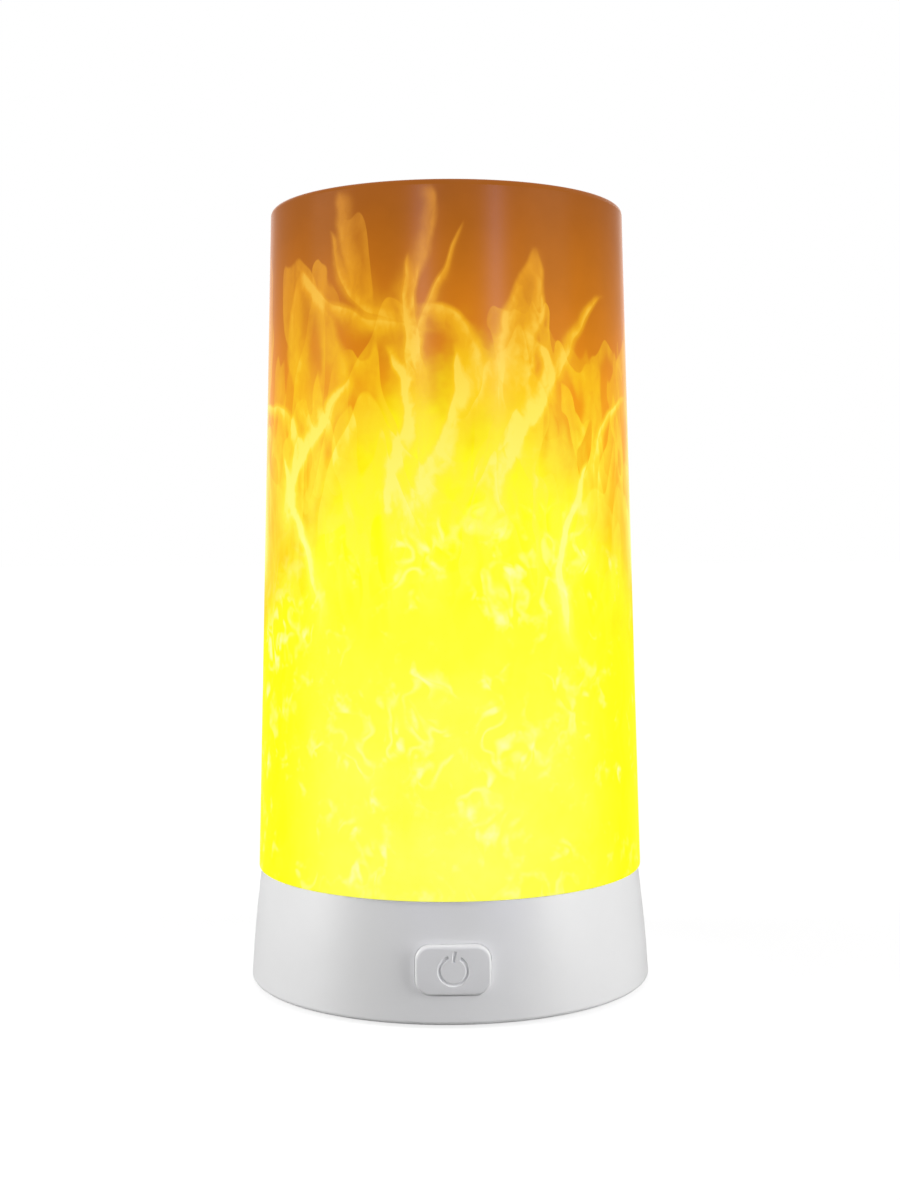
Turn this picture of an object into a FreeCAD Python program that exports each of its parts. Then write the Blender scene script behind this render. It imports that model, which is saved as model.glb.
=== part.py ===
import FreeCAD, Part
import math
import os
from types import SimpleNamespace

import Sketcher
from FreeCAD import Placement, Rotation, Vector

# Flame effect lamp, in millimetres. The origin is the middle of the footprint on the table,
# +Z runs up the lamp's axis and the front, with the push button, faces -Y.

DRIVING = {
    # How far the outline of a cut stands clear of what it cuts
    "cut_margin": 1.0,
    # Base housing: a flared ring wall, a deck over it and a collar that carries the shade
    "foot_proud": 0.5,
    "base_height": 22.6,
    "neck_radius": 38.8,
    "base_flare": 2.2,
    "base_bulge": 0.19,
    "base_wall": 2.2,
    "base_corner": 0.7,
    "neck_edge": 0.3,
    "deck_thickness": 2.0,
    "collar_wall": 2.0,
    "collar_height": 6.0,
    "collar_fit": 0.1,
    "rim_thickness": 1.2,
    "ledge_height": 2.6,
    # Shade: a tapering cup that snaps over the collar
    "shade_height": 133.2,
    "shade_overhang": 0.55,
    "shade_taper": 3.67,
    "shade_wall": 1.8,
    "shade_corner": 1.2,
    "rim_edge": 0.35,
    "bead_height": 1.4,
    "bead_width": 1.2,
    "bead_depth": 0.4,
    "bead_clearance": 0.15,
    "seal_height": 4.0,
    "seal_width": 1.4,
    "seal_depth": 1.1,
    "seal_clearance": 0.08,
    # Bottom cover, its screws and the feet
    "cover_inset": 0.4,
    "cover_gap": 0.15,
    "cover_edge": 0.4,
    "cover_rib_gap": 4.0,
    "cover_rib_width": 1.2,
    "cover_rib_height": 1.2,
    "boss_radius": 3.2,
    "boss_gap": 1.0,
    "gusset_width": 1.2,
    "gusset_height": 6.0,
    "cover_screw_radius": 1.3,
    "cover_screw_length": 7.0,
    "cover_head_radius": 2.5,
    "cover_head_height": 1.2,
    "head_edge": 0.3,
    "head_clearance": 0.3,
    "screw_clearance": 0.2,
    "thread_clearance": 0.05,
    "pilot_spare": 1.0,
    "foot_radius": 4.0,
    "foot_recess": 0.7,
    "foot_gap": 0.1,
    "foot_margin": 4.6,
    "foot_edge": 0.3,
    # Push button and the side-push switch behind it
    "button_width": 14.0,
    "button_tall": 9.2,
    "button_corner": 2.9,
    "button_edge": 0.6,
    "button_gap": 0.15,
    "flange_margin": 1.5,
    "flange_thickness": 1.0,
    "frame_margin": 0.3,
    "frame_foot": 1.2,
    "stem_radius": 2.2,
    "stem_length": 0.34,
    "switch_width": 6.0,
    "switch_depth": 3.5,
    "switch_tall": 6.0,
    "plunger_radius": 1.75,
    "plunger_reach": 1.2,
    "plunger_hold": 1.5,
    "plunger_clearance": 0.08,
    "plunger_spare": 0.8,
    # Control board, hung from the deck on four posts
    "board_thickness": 1.6,
    "board_side_gap": 0.71,
    "board_gap": 0.3,
    "board_setback": 0.2,
    "post_inset_x": 4.0,
    "post_inset_y": 14.3,
    "post_radius": 2.6,
    "board_screw_radius": 0.9,
    "board_screw_length": 5.0,
    "board_head_radius": 1.9,
    "board_head_height": 1.1,
    # Charging socket at the back
    "usb_width": 8.94,
    "usb_tall": 3.26,
    "usb_depth": 7.35,
    "usb_shell_wall": 0.3,
    "usb_clearance": 0.2,
    "usb_recess": 1.1,
    "usb_recess_margin": 2.0,
    "tongue_width": 6.6,
    "tongue_thickness": 0.7,
    "tongue_setback": 0.6,
    "insert_block": 2.4,
    "insert_gap": 0.015,
    # Parts on the board
    "controller_length": 9.9,
    "controller_leads": 8,
    "controller_inset": 20.9,
    "charger_length": 4.9,
    "charger_leads": 4,
    "power_parts_x": 9.4,
    "power_parts_y": -1.5,
    "chip_width": 3.9,
    "chip_thickness": 1.5,
    "chip_edge": 0.25,
    "lead_pitch": 1.27,
    "lead_width": 0.42,
    "lead_reach": 1.05,
    "lead_thickness": 0.6,
    "inductor_side": 7.3,
    "inductor_tall": 3.2,
    "inductor_corner": 1.6,
    "plug_pitch": 2.0,
    "battery_socket_width": 7.9,
    "battery_socket_depth": 4.5,
    "battery_socket_tall": 6.0,
    "battery_plug_wall": 0.8,
    "battery_plug_gap": 0.1,
    "battery_plug_floor": 1.2,
    "battery_plug_tall": 6.3,
    "led_socket_width": 9.0,
    "led_socket_depth": 3.2,
    "led_socket_tall": 4.0,
    "led_socket_floor": 1.5,
    "tail_clearance": 0.15,
    # LED core and the flexible board wrapped round it
    "core_room": 2.45,
    "core_wall": 1.7,
    "core_flange_radius": 24.5,
    "core_flange_thickness": 2.4,
    "core_screw_radius": 1.2,
    "core_screw_length": 6.5,
    "core_head_radius": 2.3,
    "core_head_height": 1.4,
    "core_boss_radius": 2.7,
    "core_boss_height": 5.0,
    "rib_width": 1.6,
    "bulkhead_thickness": 1.6,
    "bulkhead_gap": 0.4,
    "core_margin": 1.5,
    "core_headroom": 18.0,
    "cap_thickness": 1.6,
    "cap_skirt": 3.0,
    "cap_skirt_wall": 1.2,
    "cap_gap": 0.08,
    "cap_edge": 0.5,
    "flex_thickness": 0.3,
    "flex_gap": 0.1,
    "flex_seam": 1.5,
    "flex_margin": 4.0,
    "flex_rise": 1.1,
    "tail_width": 6.0,
    "tail_overlap": 1.0,
    "tail_slot_margin": 0.6,
    "led_rows": 9,
    "led_columns": 12,
    "led_width": 3.5,
    "led_tall": 2.8,
    "led_thickness": 0.8,
    "led_clearance": 0.05,
    # Rechargeable cell with its tabs, pad and leads
    "cell_radius": 9.2,
    "cell_length": 65.0,
    "cell_gap": 0.15,
    "cell_edge": 0.6,
    "pad_radius": 9.0,
    "pad_thickness": 1.0,
    "tab_thickness": 0.2,
    "tab_width": 7.0,
    "tab_start": 4.0,
    "tab_stand": 1.2,
    "tab_leg": 3.0,
    "wire_radius": 0.55,
    "wire_gap": 0.05,
    "slot_half_width": 5.0,
    "slot_margin": 0.6,
}

# Where like pieces stand round the axis, in degrees from +X
COVER_SCREW_ANGLES = (45, 135, 225, 315)
FOOT_ANGLES = (0, 90, 180, 270)
CORE_SCREW_ANGLES = (30, 150, 270)

doc = FreeCAD.newDocument("flame_effect_lamp")
sheet = doc.addObject("Spreadsheet::Sheet", "Dims")
for row, (alias, number) in enumerate(DRIVING.items(), start=1):
    sheet.set(f"A{row}", alias)
    sheet.set(f"B{row}", str(number))
    sheet.setAlias(f"B{row}", alias)
doc.recompute()


class Size:
    """A length that carries its formula in the sheet's names and its present value."""

    def __init__(self, formula, number):
        self.formula = formula
        self.number = number

    def __add__(self, other):
        return Size(f"({self.formula} + {formula_of(other)})", self.number + number_of(other))

    def __sub__(self, other):
        return Size(f"({self.formula} - {formula_of(other)})", self.number - number_of(other))

    def __mul__(self, other):
        return Size(f"({self.formula} * {formula_of(other)})", self.number * number_of(other))

    def __truediv__(self, other):
        return Size(f"({self.formula} / {formula_of(other)})", self.number / number_of(other))

    def __neg__(self):
        return Size(f"(-1 * {self.formula})", -self.number)


def formula_of(size):
    return size.formula if isinstance(size, Size) else str(size)


def number_of(size):
    return size.number if isinstance(size, Size) else size


def square_root(size):
    return Size(f"sqrt({size.formula})", math.sqrt(size.number))


def polar(radius, angle):
    """Place on a circle round the axis, at an angle in degrees from +X."""
    turn = math.radians(angle)
    return (
        Size(f"({radius.formula} * cos({angle}))", radius.number * math.cos(turn)),
        Size(f"({radius.formula} * sin({angle}))", radius.number * math.sin(turn)),
    )


dim = SimpleNamespace(**{alias: Size(f"Dims.{alias}", getattr(sheet, alias)) for alias in DRIVING})
sub_parts = []


def new_body(name):
    body = doc.addObject("PartDesign::Body", name)
    body.Label = name
    sub_parts.append(body)
    return body


def place(body, x=0, y=0, z=0, turn=0, upside_down=False):
    """Puts a body at its bound place, turned about +Z, or about +X to face down."""
    axis = Vector(1, 0, 0) if upside_down else Vector(0, 0, 1)
    body.Placement = Placement(Vector(), Rotation(axis, 180 if upside_down else turn))
    for letter, size in (("x", x), ("y", y), ("z", z)):
        body.setExpression(f"Placement.Base.{letter}", formula_of(size))


def origin_part(body, role):
    return next(part for part in body.Origin.OriginFeatures if part.Role == role)


def flat_sketch(body, name, plane, offset=0, turn=0):
    """Empty sketch on one of the body's own planes, moved along its normal.

    XY faces +Z, XZ faces -Y and YZ faces +X.
    """
    sketch = body.newObject("Sketcher::SketchObject", name)
    sketch.AttachmentSupport = [(origin_part(body, plane + "_Plane"), "")]
    sketch.MapMode = "FlatFace"
    sketch.AttachmentOffset = Placement(Vector(), Rotation(Vector(0, 0, 1), turn))
    sketch.setExpression("AttachmentOffset.Base.z", formula_of(offset))
    return sketch


def bound(sketch, kind, *places_and_size):
    """Adds one constraint whose value follows its formula."""
    *places, size = places_and_size
    index = sketch.addConstraint(Sketcher.Constraint(kind, *places, number_of(size)))
    sketch.setExpression(f"Constraints[{index}]", formula_of(size))


def hold_point(sketch, line, end, point):
    """Ties one point of a line to its distances from the sketch's origin."""
    for kind, axis, size in (("DistanceX", -2, point[0]), ("DistanceY", -1, point[1])):
        if isinstance(size, Size):
            bound(sketch, kind, -1, 1, line, end, size)
        elif size:
            sketch.addConstraint(Sketcher.Constraint(kind, -1, 1, line, end, size))
        else:
            sketch.addConstraint(Sketcher.Constraint("PointOnObject", line, end, axis))


def bowed(start, end, rise):
    """Arc from start to end that stands out to the right by rise, and its bound radius."""
    across = number_of(end[0]) - number_of(start[0])
    along = number_of(end[1]) - number_of(start[1])
    chord = math.hypot(across, along)
    wide = end[0] - start[0]
    tall = end[1] - start[1] if isinstance(end[1], Size) else Size("0", 0) - start[1]
    radius = ((wide * wide + tall * tall) / 4 + rise * rise) / (rise * 2)
    back = radius.number - rise.number
    middle = Vector(
        number_of(start[0]) + across / 2 - along / chord * back,
        number_of(start[1]) + along / 2 + across / chord * back,
        0,
    )
    first = math.atan2(number_of(start[1]) - middle.y, number_of(start[0]) - middle.x)
    last = math.atan2(number_of(end[1]) - middle.y, number_of(end[0]) - middle.x)
    circle = Part.Circle(middle, Vector(0, 0, 1), radius.number)
    return Part.ArcOfCircle(circle, first, last), radius


def outline(sketch, points, bows=None):
    """Closed outline through the points; bows gives the rise of a side that is an arc."""
    bows = bows or {}
    count = len(points)
    first = len(sketch.Geometry)
    for index, start in enumerate(points):
        end = points[(index + 1) % count]
        if index in bows:
            arc, radius = bowed(start, end, bows[index])
            line = sketch.addGeometry(arc)
            bound(sketch, "Radius", line, radius)
        else:
            ends = [Vector(number_of(point[0]), number_of(point[1]), 0) for point in (start, end)]
            sketch.addGeometry(Part.LineSegment(*ends))
    for index, point in enumerate(points):
        line = first + index
        previous = first + (index - 1) % count
        sketch.addConstraint(Sketcher.Constraint("Coincident", previous, 2, line, 1))
        hold_point(sketch, line, 1, point)


def rectangle(sketch, left, right, low, high):
    outline(sketch, [(left, low), (right, low), (right, high), (left, high)])


def circle(sketch, x, y, radius):
    centre = Vector(number_of(x), number_of(y), 0)
    line = sketch.addGeometry(Part.Circle(centre, Vector(0, 0, 1), number_of(radius)))
    if isinstance(x, Size) or isinstance(y, Size):
        hold_point(sketch, line, 3, (x, y))
    else:
        sketch.addConstraint(Sketcher.Constraint("Coincident", line, 3, -1, 1))
    bound(sketch, "Radius", line, radius)


def rounded_rectangle(sketch, width, tall, corner):
    """Rectangle with round corners, centred on the sketch's origin."""
    right = width / 2
    top = tall / 2
    half_width = right.number
    half_tall = top.number
    reach = corner.number
    first = len(sketch.Geometry)
    sides = (
        ((-half_width + reach, -half_tall), (half_width - reach, -half_tall)),
        ((half_width, -half_tall + reach), (half_width, half_tall - reach)),
        ((half_width - reach, half_tall), (-half_width + reach, half_tall)),
        ((-half_width, half_tall - reach), (-half_width, -half_tall + reach)),
    )
    corners = (
        ((half_width - reach, -half_tall + reach), -math.pi / 2),
        ((half_width - reach, half_tall - reach), 0),
        ((-half_width + reach, half_tall - reach), math.pi / 2),
        ((-half_width + reach, -half_tall + reach), math.pi),
    )
    for (start, end), (centre, turn) in zip(sides, corners):
        sketch.addGeometry(Part.LineSegment(Vector(*start, 0), Vector(*end, 0)))
        round_corner = Part.Circle(Vector(*centre, 0), Vector(0, 0, 1), reach)
        sketch.addGeometry(Part.ArcOfCircle(round_corner, turn, turn + math.pi / 2))
    for index in range(8):
        following = first + (index + 1) % 8
        sketch.addConstraint(Sketcher.Constraint("Tangent", first + index, 2, following, 1))
    for index, kind in ((0, "Horizontal"), (2, "Vertical"), (4, "Horizontal"), (6, "Vertical")):
        sketch.addConstraint(Sketcher.Constraint(kind, first + index))
    for index in (3, 5, 7):
        sketch.addConstraint(Sketcher.Constraint("Equal", first + 1, first + index))
    bound(sketch, "Radius", first + 1, corner)
    bound(sketch, "DistanceY", -1, 1, first, 1, -top)
    bound(sketch, "DistanceX", -1, 1, first + 2, 1, right)
    bound(sketch, "DistanceY", -1, 1, first + 4, 1, top)
    bound(sketch, "DistanceX", -1, 1, first + 6, 1, -right)


def turned(body, name, sketch, cuts=False):
    """Turns a section once round the sketch's upright axis, to add or to cut."""
    kind = "PartDesign::Groove" if cuts else "PartDesign::Revolution"
    feature = body.newObject(kind, name)
    feature.Profile = sketch
    feature.ReferenceAxis = (sketch, ["V_Axis"])
    feature.Angle = 360
    return feature


def raised(body, name, sketch, length, backwards=False):
    """Raises an outline along the sketch's normal."""
    feature = body.newObject("PartDesign::Pad", name)
    feature.Profile = sketch
    feature.Reversed = backwards
    feature.setExpression("Length", formula_of(length))
    return feature


def cut(body, name, sketch, length, forwards=False):
    """Cuts an outline against the sketch's normal, or forwards along it."""
    feature = body.newObject("PartDesign::Pocket", name)
    feature.Profile = sketch
    feature.Reversed = forwards
    feature.setExpression("Length", formula_of(length))
    return feature


def repeated(body, name, features, count):
    """Repeats features evenly round the body's upright axis."""
    pattern = body.newObject("PartDesign::PolarPattern", name)
    pattern.Originals = features
    pattern.Axis = (origin_part(body, "Z_Axis"), [""])
    pattern.Angle = 360
    pattern.setExpression("Occurrences", formula_of(count))
    body.Tip = pattern
    return pattern


def edges_at(feature, axis, level, reach=None):
    """Names of the edges that lie flat at one level on an axis, with one outermost x."""
    doc.recompute()
    names = []
    for index, edge in enumerate(feature.Shape.Edges, start=1):
        box = edge.BoundBox
        ends = {"x": (box.XMin, box.XMax), "y": (box.YMin, box.YMax), "z": (box.ZMin, box.ZMax)}[axis]
        flat = all(abs(end - number_of(level)) < 0.001 for end in ends)
        if flat and (reach is None or abs(box.XMax - number_of(reach)) < 0.001):
            names.append(f"Edge{index}")
    return names


def rounded(body, name, feature, edges, radius):
    fillet = body.newObject("PartDesign::Fillet", name)
    fillet.Base = (feature, edges)
    fillet.setExpression("Radius", formula_of(radius))
    return fillet


def bevelled(body, name, feature, edges, size):
    chamfer = body.newObject("PartDesign::Chamfer", name)
    chamfer.Base = (feature, edges)
    chamfer.setExpression("Size", formula_of(size))
    return chamfer


# Heights and radii that several pieces share
seam = dim.foot_proud + dim.base_height
rim_radius = dim.neck_radius + dim.base_flare
deck_underside = dim.base_height - dim.deck_thickness
inner_neck_radius = dim.neck_radius - dim.base_wall
shade_rim_radius = dim.neck_radius + dim.shade_overhang
shade_inner_radius = shade_rim_radius - dim.shade_wall
collar_radius = (
    shade_inner_radius - dim.shade_taper * dim.collar_height / dim.shade_height - dim.collar_fit
)
cover_thickness = dim.ledge_height - dim.cover_inset
cover_radius = rim_radius - dim.rim_thickness - dim.cover_gap
boss_ring = inner_neck_radius - dim.boss_gap - dim.boss_radius
flange_width = dim.button_width + dim.flange_margin * 2
flange_tall = dim.button_tall + dim.flange_margin * 2
flange_corner = dim.button_corner + dim.flange_margin
frame_width = flange_width + dim.frame_margin * 2
frame_rise = flange_tall / 2 + dim.frame_margin
button_height = dim.ledge_height + dim.frame_foot + frame_rise
board_top = button_height - dim.switch_tall / 2
board_radius = inner_neck_radius - dim.board_gap
board_half_width = polar(boss_ring, COVER_SCREW_ANGLES[0])[0] - dim.boss_radius - dim.board_side_gap
post_x = board_half_width - dim.post_inset_x
post_y = board_radius - dim.post_inset_y
frame_face = square_root(inner_neck_radius * inner_neck_radius - frame_width * frame_width / 4)
button_face = rim_radius - frame_face
usb_height = board_top + dim.usb_tall / 2
usb_outer_wall = rim_radius - dim.base_flare * usb_height / dim.base_height
usb_mouth = usb_outer_wall - dim.usb_recess
leg_y = dim.cell_radius + dim.tab_stand
wire_y = leg_y + dim.tab_thickness + dim.wire_gap + dim.wire_radius
core_inner_radius = wire_y + dim.wire_radius + dim.core_room
core_radius = core_inner_radius + dim.core_wall
flex_inner_radius = core_radius + dim.flex_gap
flex_outer_radius = flex_inner_radius + dim.flex_thickness
tail_slot_tall = dim.flex_thickness + dim.tail_slot_margin * 2
core_screw_ring = (dim.core_flange_radius + core_radius) / 2
cell_foot = dim.pad_thickness + dim.tab_thickness


def post_places():
    """Where the four board posts and their screws stand."""
    return [(post_x * side, post_y * end) for side in (-1, 1) for end in (-1, 1)]


def tail_slot(sketch):
    """Slot that the LED board's tail passes through, in the flange and in the deck."""
    half = dim.tail_width / 2 + dim.tail_slot_margin
    low = flex_inner_radius - dim.tail_slot_margin
    rectangle(sketch, -half, half, low, low + tail_slot_tall)


def shade():
    """Frosted diffuser, moulded as one tapering cup with a snap bead inside its rim."""
    body = new_body("shade")
    top_radius = shade_rim_radius - dim.shade_taper
    inner_top = dim.shade_height - dim.shade_wall
    section = flat_sketch(body, "cup_section", "XZ")
    outline(section, [
        (shade_rim_radius, 0),
        (top_radius, dim.shade_height),
        (0, dim.shade_height),
        (0, inner_top),
        (top_radius - dim.shade_wall, inner_top),
        (shade_inner_radius, 0),
    ])
    turned(body, "cup", section)
    inside = shade_inner_radius - dim.shade_taper * dim.bead_height / dim.shade_height
    bead_section = flat_sketch(body, "bead_section", "XZ")
    outline(bead_section, [
        (inside + dim.shade_wall / 2, dim.bead_height),
        (inside, dim.bead_height),
        (inside - dim.bead_depth, dim.bead_height + dim.bead_depth),
        (inside - dim.bead_depth, dim.bead_height + dim.bead_width - dim.bead_depth),
        (inside, dim.bead_height + dim.bead_width),
        (inside + dim.shade_wall / 2, dim.bead_height + dim.bead_width),
    ])
    bead = turned(body, "snap_bead", bead_section)
    top_edge = edges_at(bead, "z", dim.shade_height, top_radius)
    corner = rounded(body, "top_corner", bead, top_edge, dim.shade_corner)
    inner_edge = edges_at(corner, "z", inner_top, top_radius - dim.shade_wall)
    inner = rounded(body, "inner_corner", corner, inner_edge, dim.shade_corner / 2)
    rim = edges_at(inner, "z", 0, shade_rim_radius)
    rounded(body, "rim_corner", inner, rim, dim.rim_edge)
    place(body, z=seam)


def base_housing():
    """White moulding: flared wall, deck, collar, screw bosses, board posts and button frame."""
    body = new_body("base_housing")
    ledge_radius = rim_radius - dim.base_wall - dim.base_flare * dim.ledge_height / dim.base_height
    mouth_radius = rim_radius - dim.rim_thickness
    collar_top = dim.base_height + dim.collar_height
    section = flat_sketch(body, "shell_section", "XZ")
    outline(section, [
        (rim_radius, 0),
        (dim.neck_radius, dim.base_height),
        (collar_radius, dim.base_height),
        (collar_radius, collar_top),
        (collar_radius - dim.collar_wall, collar_top),
        (collar_radius - dim.collar_wall, dim.base_height),
        (0, dim.base_height),
        (0, deck_underside),
        (inner_neck_radius, deck_underside),
        (ledge_radius, dim.ledge_height),
        (mouth_radius, dim.ledge_height),
        (mouth_radius, 0),
    ], bows={0: dim.base_bulge})
    shell = turned(body, "shell", section)
    corner = rounded(body, "rim_corner", shell, edges_at(shell, "z", 0, rim_radius), dim.base_corner)
    neck = edges_at(corner, "z", dim.base_height, dim.neck_radius)
    rounded(body, "neck_corner", corner, neck, dim.neck_edge)

    bead_low = dim.base_height + dim.bead_height - dim.bead_clearance
    bead_high = dim.base_height + dim.bead_height + dim.bead_width + dim.bead_clearance
    bead_groove = flat_sketch(body, "bead_groove_section", "XZ")
    bead_floor = collar_radius - dim.bead_depth
    rectangle(bead_groove, bead_floor, collar_radius + dim.collar_fit, bead_low, bead_high)
    turned(body, "bead_groove", bead_groove, cuts=True)
    seal_low = dim.base_height + dim.seal_height - dim.seal_clearance
    seal_high = seal_low + dim.seal_width + dim.seal_clearance * 2
    seal_groove = flat_sketch(body, "seal_groove_section", "XZ")
    seal_floor = collar_radius - dim.seal_depth
    rectangle(seal_groove, seal_floor, collar_radius + dim.collar_fit, seal_low, seal_high)
    turned(body, "seal_groove", seal_groove, cuts=True)

    boss = flat_sketch(body, "boss_outline", "XY", dim.ledge_height, COVER_SCREW_ANGLES[0])
    circle(boss, boss_ring, 0, dim.boss_radius)
    boss_pad = raised(body, "cover_boss", boss, deck_underside - dim.ledge_height)
    gusset_low = deck_underside - dim.gusset_height
    gusset = flat_sketch(body, "gusset_outline", "XY", gusset_low, COVER_SCREW_ANGLES[0])
    half_gusset = dim.gusset_width / 2
    rectangle(gusset, boss_ring, dim.neck_radius - dim.base_wall / 2, -half_gusset, half_gusset)
    gusset_pad = raised(body, "boss_gusset", gusset, dim.gusset_height)
    pilot = flat_sketch(body, "boss_pilot_outline", "XY", dim.ledge_height, COVER_SCREW_ANGLES[0])
    circle(pilot, boss_ring, 0, dim.cover_screw_radius + dim.thread_clearance)
    under_head = cover_thickness - dim.cover_head_height - dim.head_clearance
    pilot_depth = dim.cover_screw_length - under_head + dim.pilot_spare
    pilot_cut = cut(body, "boss_pilot", pilot, pilot_depth, forwards=True)
    repeated(body, "cover_bosses", [boss_pad, gusset_pad, pilot_cut], len(COVER_SCREW_ANGLES))

    post = flat_sketch(body, "post_outline", "XY", board_top)
    post_holes = flat_sketch(body, "post_pilot_outline", "XY", board_top)
    for x, y in post_places():
        circle(post, x, y, dim.post_radius)
        circle(post_holes, x, y, dim.board_screw_radius + dim.thread_clearance)
    raised(body, "board_posts", post, deck_underside - board_top)
    reach = dim.board_screw_length - dim.board_thickness + dim.pilot_spare
    cut(body, "post_pilots", post_holes, reach, forwards=True)

    core_boss = flat_sketch(body, "core_boss_outline", "XY", deck_underside)
    core_pilot = flat_sketch(body, "core_pilot_outline", "XY", dim.base_height)
    for angle in CORE_SCREW_ANGLES:
        x, y = polar(core_screw_ring, angle)
        circle(core_boss, x, y, dim.core_boss_radius)
        circle(core_pilot, x, y, dim.core_screw_radius + dim.thread_clearance)
    raised(body, "core_bosses", core_boss, dim.core_boss_height, backwards=True)
    core_reach = dim.core_screw_length - dim.core_flange_thickness + dim.pilot_spare
    cut(body, "core_pilots", core_pilot, core_reach)

    slots = flat_sketch(body, "deck_slots", "XY", dim.base_height)
    tail_slot(slots)
    wire_low = leg_y - dim.slot_margin
    wire_high = wire_y + dim.wire_radius + dim.slot_margin
    rectangle(slots, -dim.slot_half_width, dim.slot_half_width, wire_low, wire_high)
    cut(body, "wire_slots", slots, dim.deck_thickness)

    frame = flat_sketch(body, "button_frame_outline", "XZ", frame_face)
    frame_half = frame_width / 2
    frame_low = button_height - frame_rise
    rectangle(frame, -frame_half, frame_half, frame_low, button_height + frame_rise)
    frame_pad = body.newObject("PartDesign::Pad", "button_frame")
    frame_pad.Profile = frame
    frame_pad.Type = "UpToFirst"

    outside = rim_radius + dim.cut_margin
    window = flat_sketch(body, "button_window_outline", "XZ", outside)
    window.setExpression("AttachmentOffset.Base.y", formula_of(button_height))
    spread = dim.button_gap * 2
    corner_radius = dim.button_corner + dim.button_gap
    rounded_rectangle(window, dim.button_width + spread, dim.button_tall + spread, corner_radius)
    cut(body, "button_window", window, outside - frame_face + dim.flange_thickness)

    recess = flat_sketch(body, "socket_recess_outline", "XZ", -outside)
    recess.setExpression("AttachmentOffset.Base.y", formula_of(usb_height))
    recess_tall = dim.usb_tall + dim.usb_recess_margin * 2
    recess_width = dim.usb_width + dim.usb_recess_margin * 2
    recess_corner = dim.usb_tall / 2 + dim.usb_clearance
    rounded_rectangle(recess, recess_width, recess_tall, recess_corner)
    cut(body, "socket_recess", recess, outside - usb_mouth, forwards=True)
    port = flat_sketch(body, "socket_port_outline", "XZ", -outside)
    port.setExpression("AttachmentOffset.Base.y", formula_of(usb_height))
    play = dim.usb_clearance * 2
    corner_of_port = dim.usb_tall / 2 + dim.usb_clearance / 2
    rounded_rectangle(port, dim.usb_width + play, dim.usb_tall + play, corner_of_port)
    cut(body, "socket_port", port, outside - frame_face, forwards=True)
    place(body, z=dim.foot_proud)


def shade_seal():
    """Soft ring that sits in the collar's upper groove and bears on the shade's inside."""
    body = new_body("shade_seal")
    section = flat_sketch(body, "ring_section", "XZ")
    seal_top = dim.seal_height + dim.seal_width
    outer = shade_inner_radius - dim.shade_taper * seal_top / dim.shade_height - dim.seal_clearance
    inner = collar_radius - dim.seal_depth + dim.seal_clearance
    rectangle(section, inner, outer, 0, dim.seal_width)
    turned(body, "ring", section)
    place(body, z=seam + dim.seal_height)


def screw(name, head_radius, head_height, shank_radius, shank_length):
    """Pan-head screw with its seat at the origin and its shank along +Z."""
    body = new_body(name)
    section = flat_sketch(body, "screw_section", "XZ")
    outline(section, [
        (0, -head_height),
        (head_radius, -head_height),
        (head_radius, 0),
        (shank_radius, 0),
        (shank_radius, shank_length),
        (0, shank_length),
    ])
    turning = turned(body, "turning", section)
    head_rim = edges_at(turning, "z", -head_height, head_radius)
    rounded(body, "head_corner", turning, head_rim, dim.head_edge)
    return body


def bottom_cover():
    """Moulded disc that closes the base, with counterbored holes and foot recesses."""
    body = new_body("bottom_cover")
    section = flat_sketch(body, "disc_section", "XZ")
    rib_outer = boss_ring - dim.boss_radius - dim.cover_rib_gap
    rib_inner = rib_outer - dim.cover_rib_width
    rib_top = cover_thickness + dim.cover_rib_height
    outline(section, [
        (0, 0),
        (cover_radius, 0),
        (cover_radius, cover_thickness),
        (rib_outer, cover_thickness),
        (rib_outer, rib_top),
        (rib_inner, rib_top),
        (rib_inner, cover_thickness),
        (0, cover_thickness),
    ])
    disc = turned(body, "disc", section)
    bevelled(body, "disc_edge", disc, edges_at(disc, "z", 0, cover_radius), dim.cover_edge)
    hole = flat_sketch(body, "screw_hole_outline", "XY", 0, COVER_SCREW_ANGLES[0])
    circle(hole, boss_ring, 0, dim.cover_screw_radius + dim.screw_clearance)
    hole_cut = cut(body, "screw_hole", hole, cover_thickness, forwards=True)
    bore = flat_sketch(body, "counterbore_outline", "XY", 0, COVER_SCREW_ANGLES[0])
    circle(bore, boss_ring, 0, dim.cover_head_radius + dim.head_clearance)
    bore_depth = dim.cover_head_height + dim.head_clearance
    bore_cut = cut(body, "counterbore", bore, bore_depth, forwards=True)
    repeated(body, "screw_holes", [hole_cut, bore_cut], len(COVER_SCREW_ANGLES))
    recess = flat_sketch(body, "foot_recess_outline", "XY")
    for angle in FOOT_ANGLES:
        x, y = polar(cover_radius - dim.foot_margin - dim.foot_radius, angle)
        circle(recess, x, y, dim.foot_radius + dim.foot_gap)
    cut(body, "foot_recesses", recess, dim.foot_recess, forwards=True)
    place(body, z=dim.foot_proud + dim.cover_inset)


def cover_screws():
    seat = dim.foot_proud + dim.cover_inset + dim.cover_head_height + dim.head_clearance
    for index, angle in enumerate(COVER_SCREW_ANGLES, start=1):
        body = screw(
            f"cover_screw_{index}",
            dim.cover_head_radius,
            dim.cover_head_height,
            dim.cover_screw_radius,
            dim.cover_screw_length,
        )
        x, y = polar(boss_ring, angle)
        place(body, x, y, seat)


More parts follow.
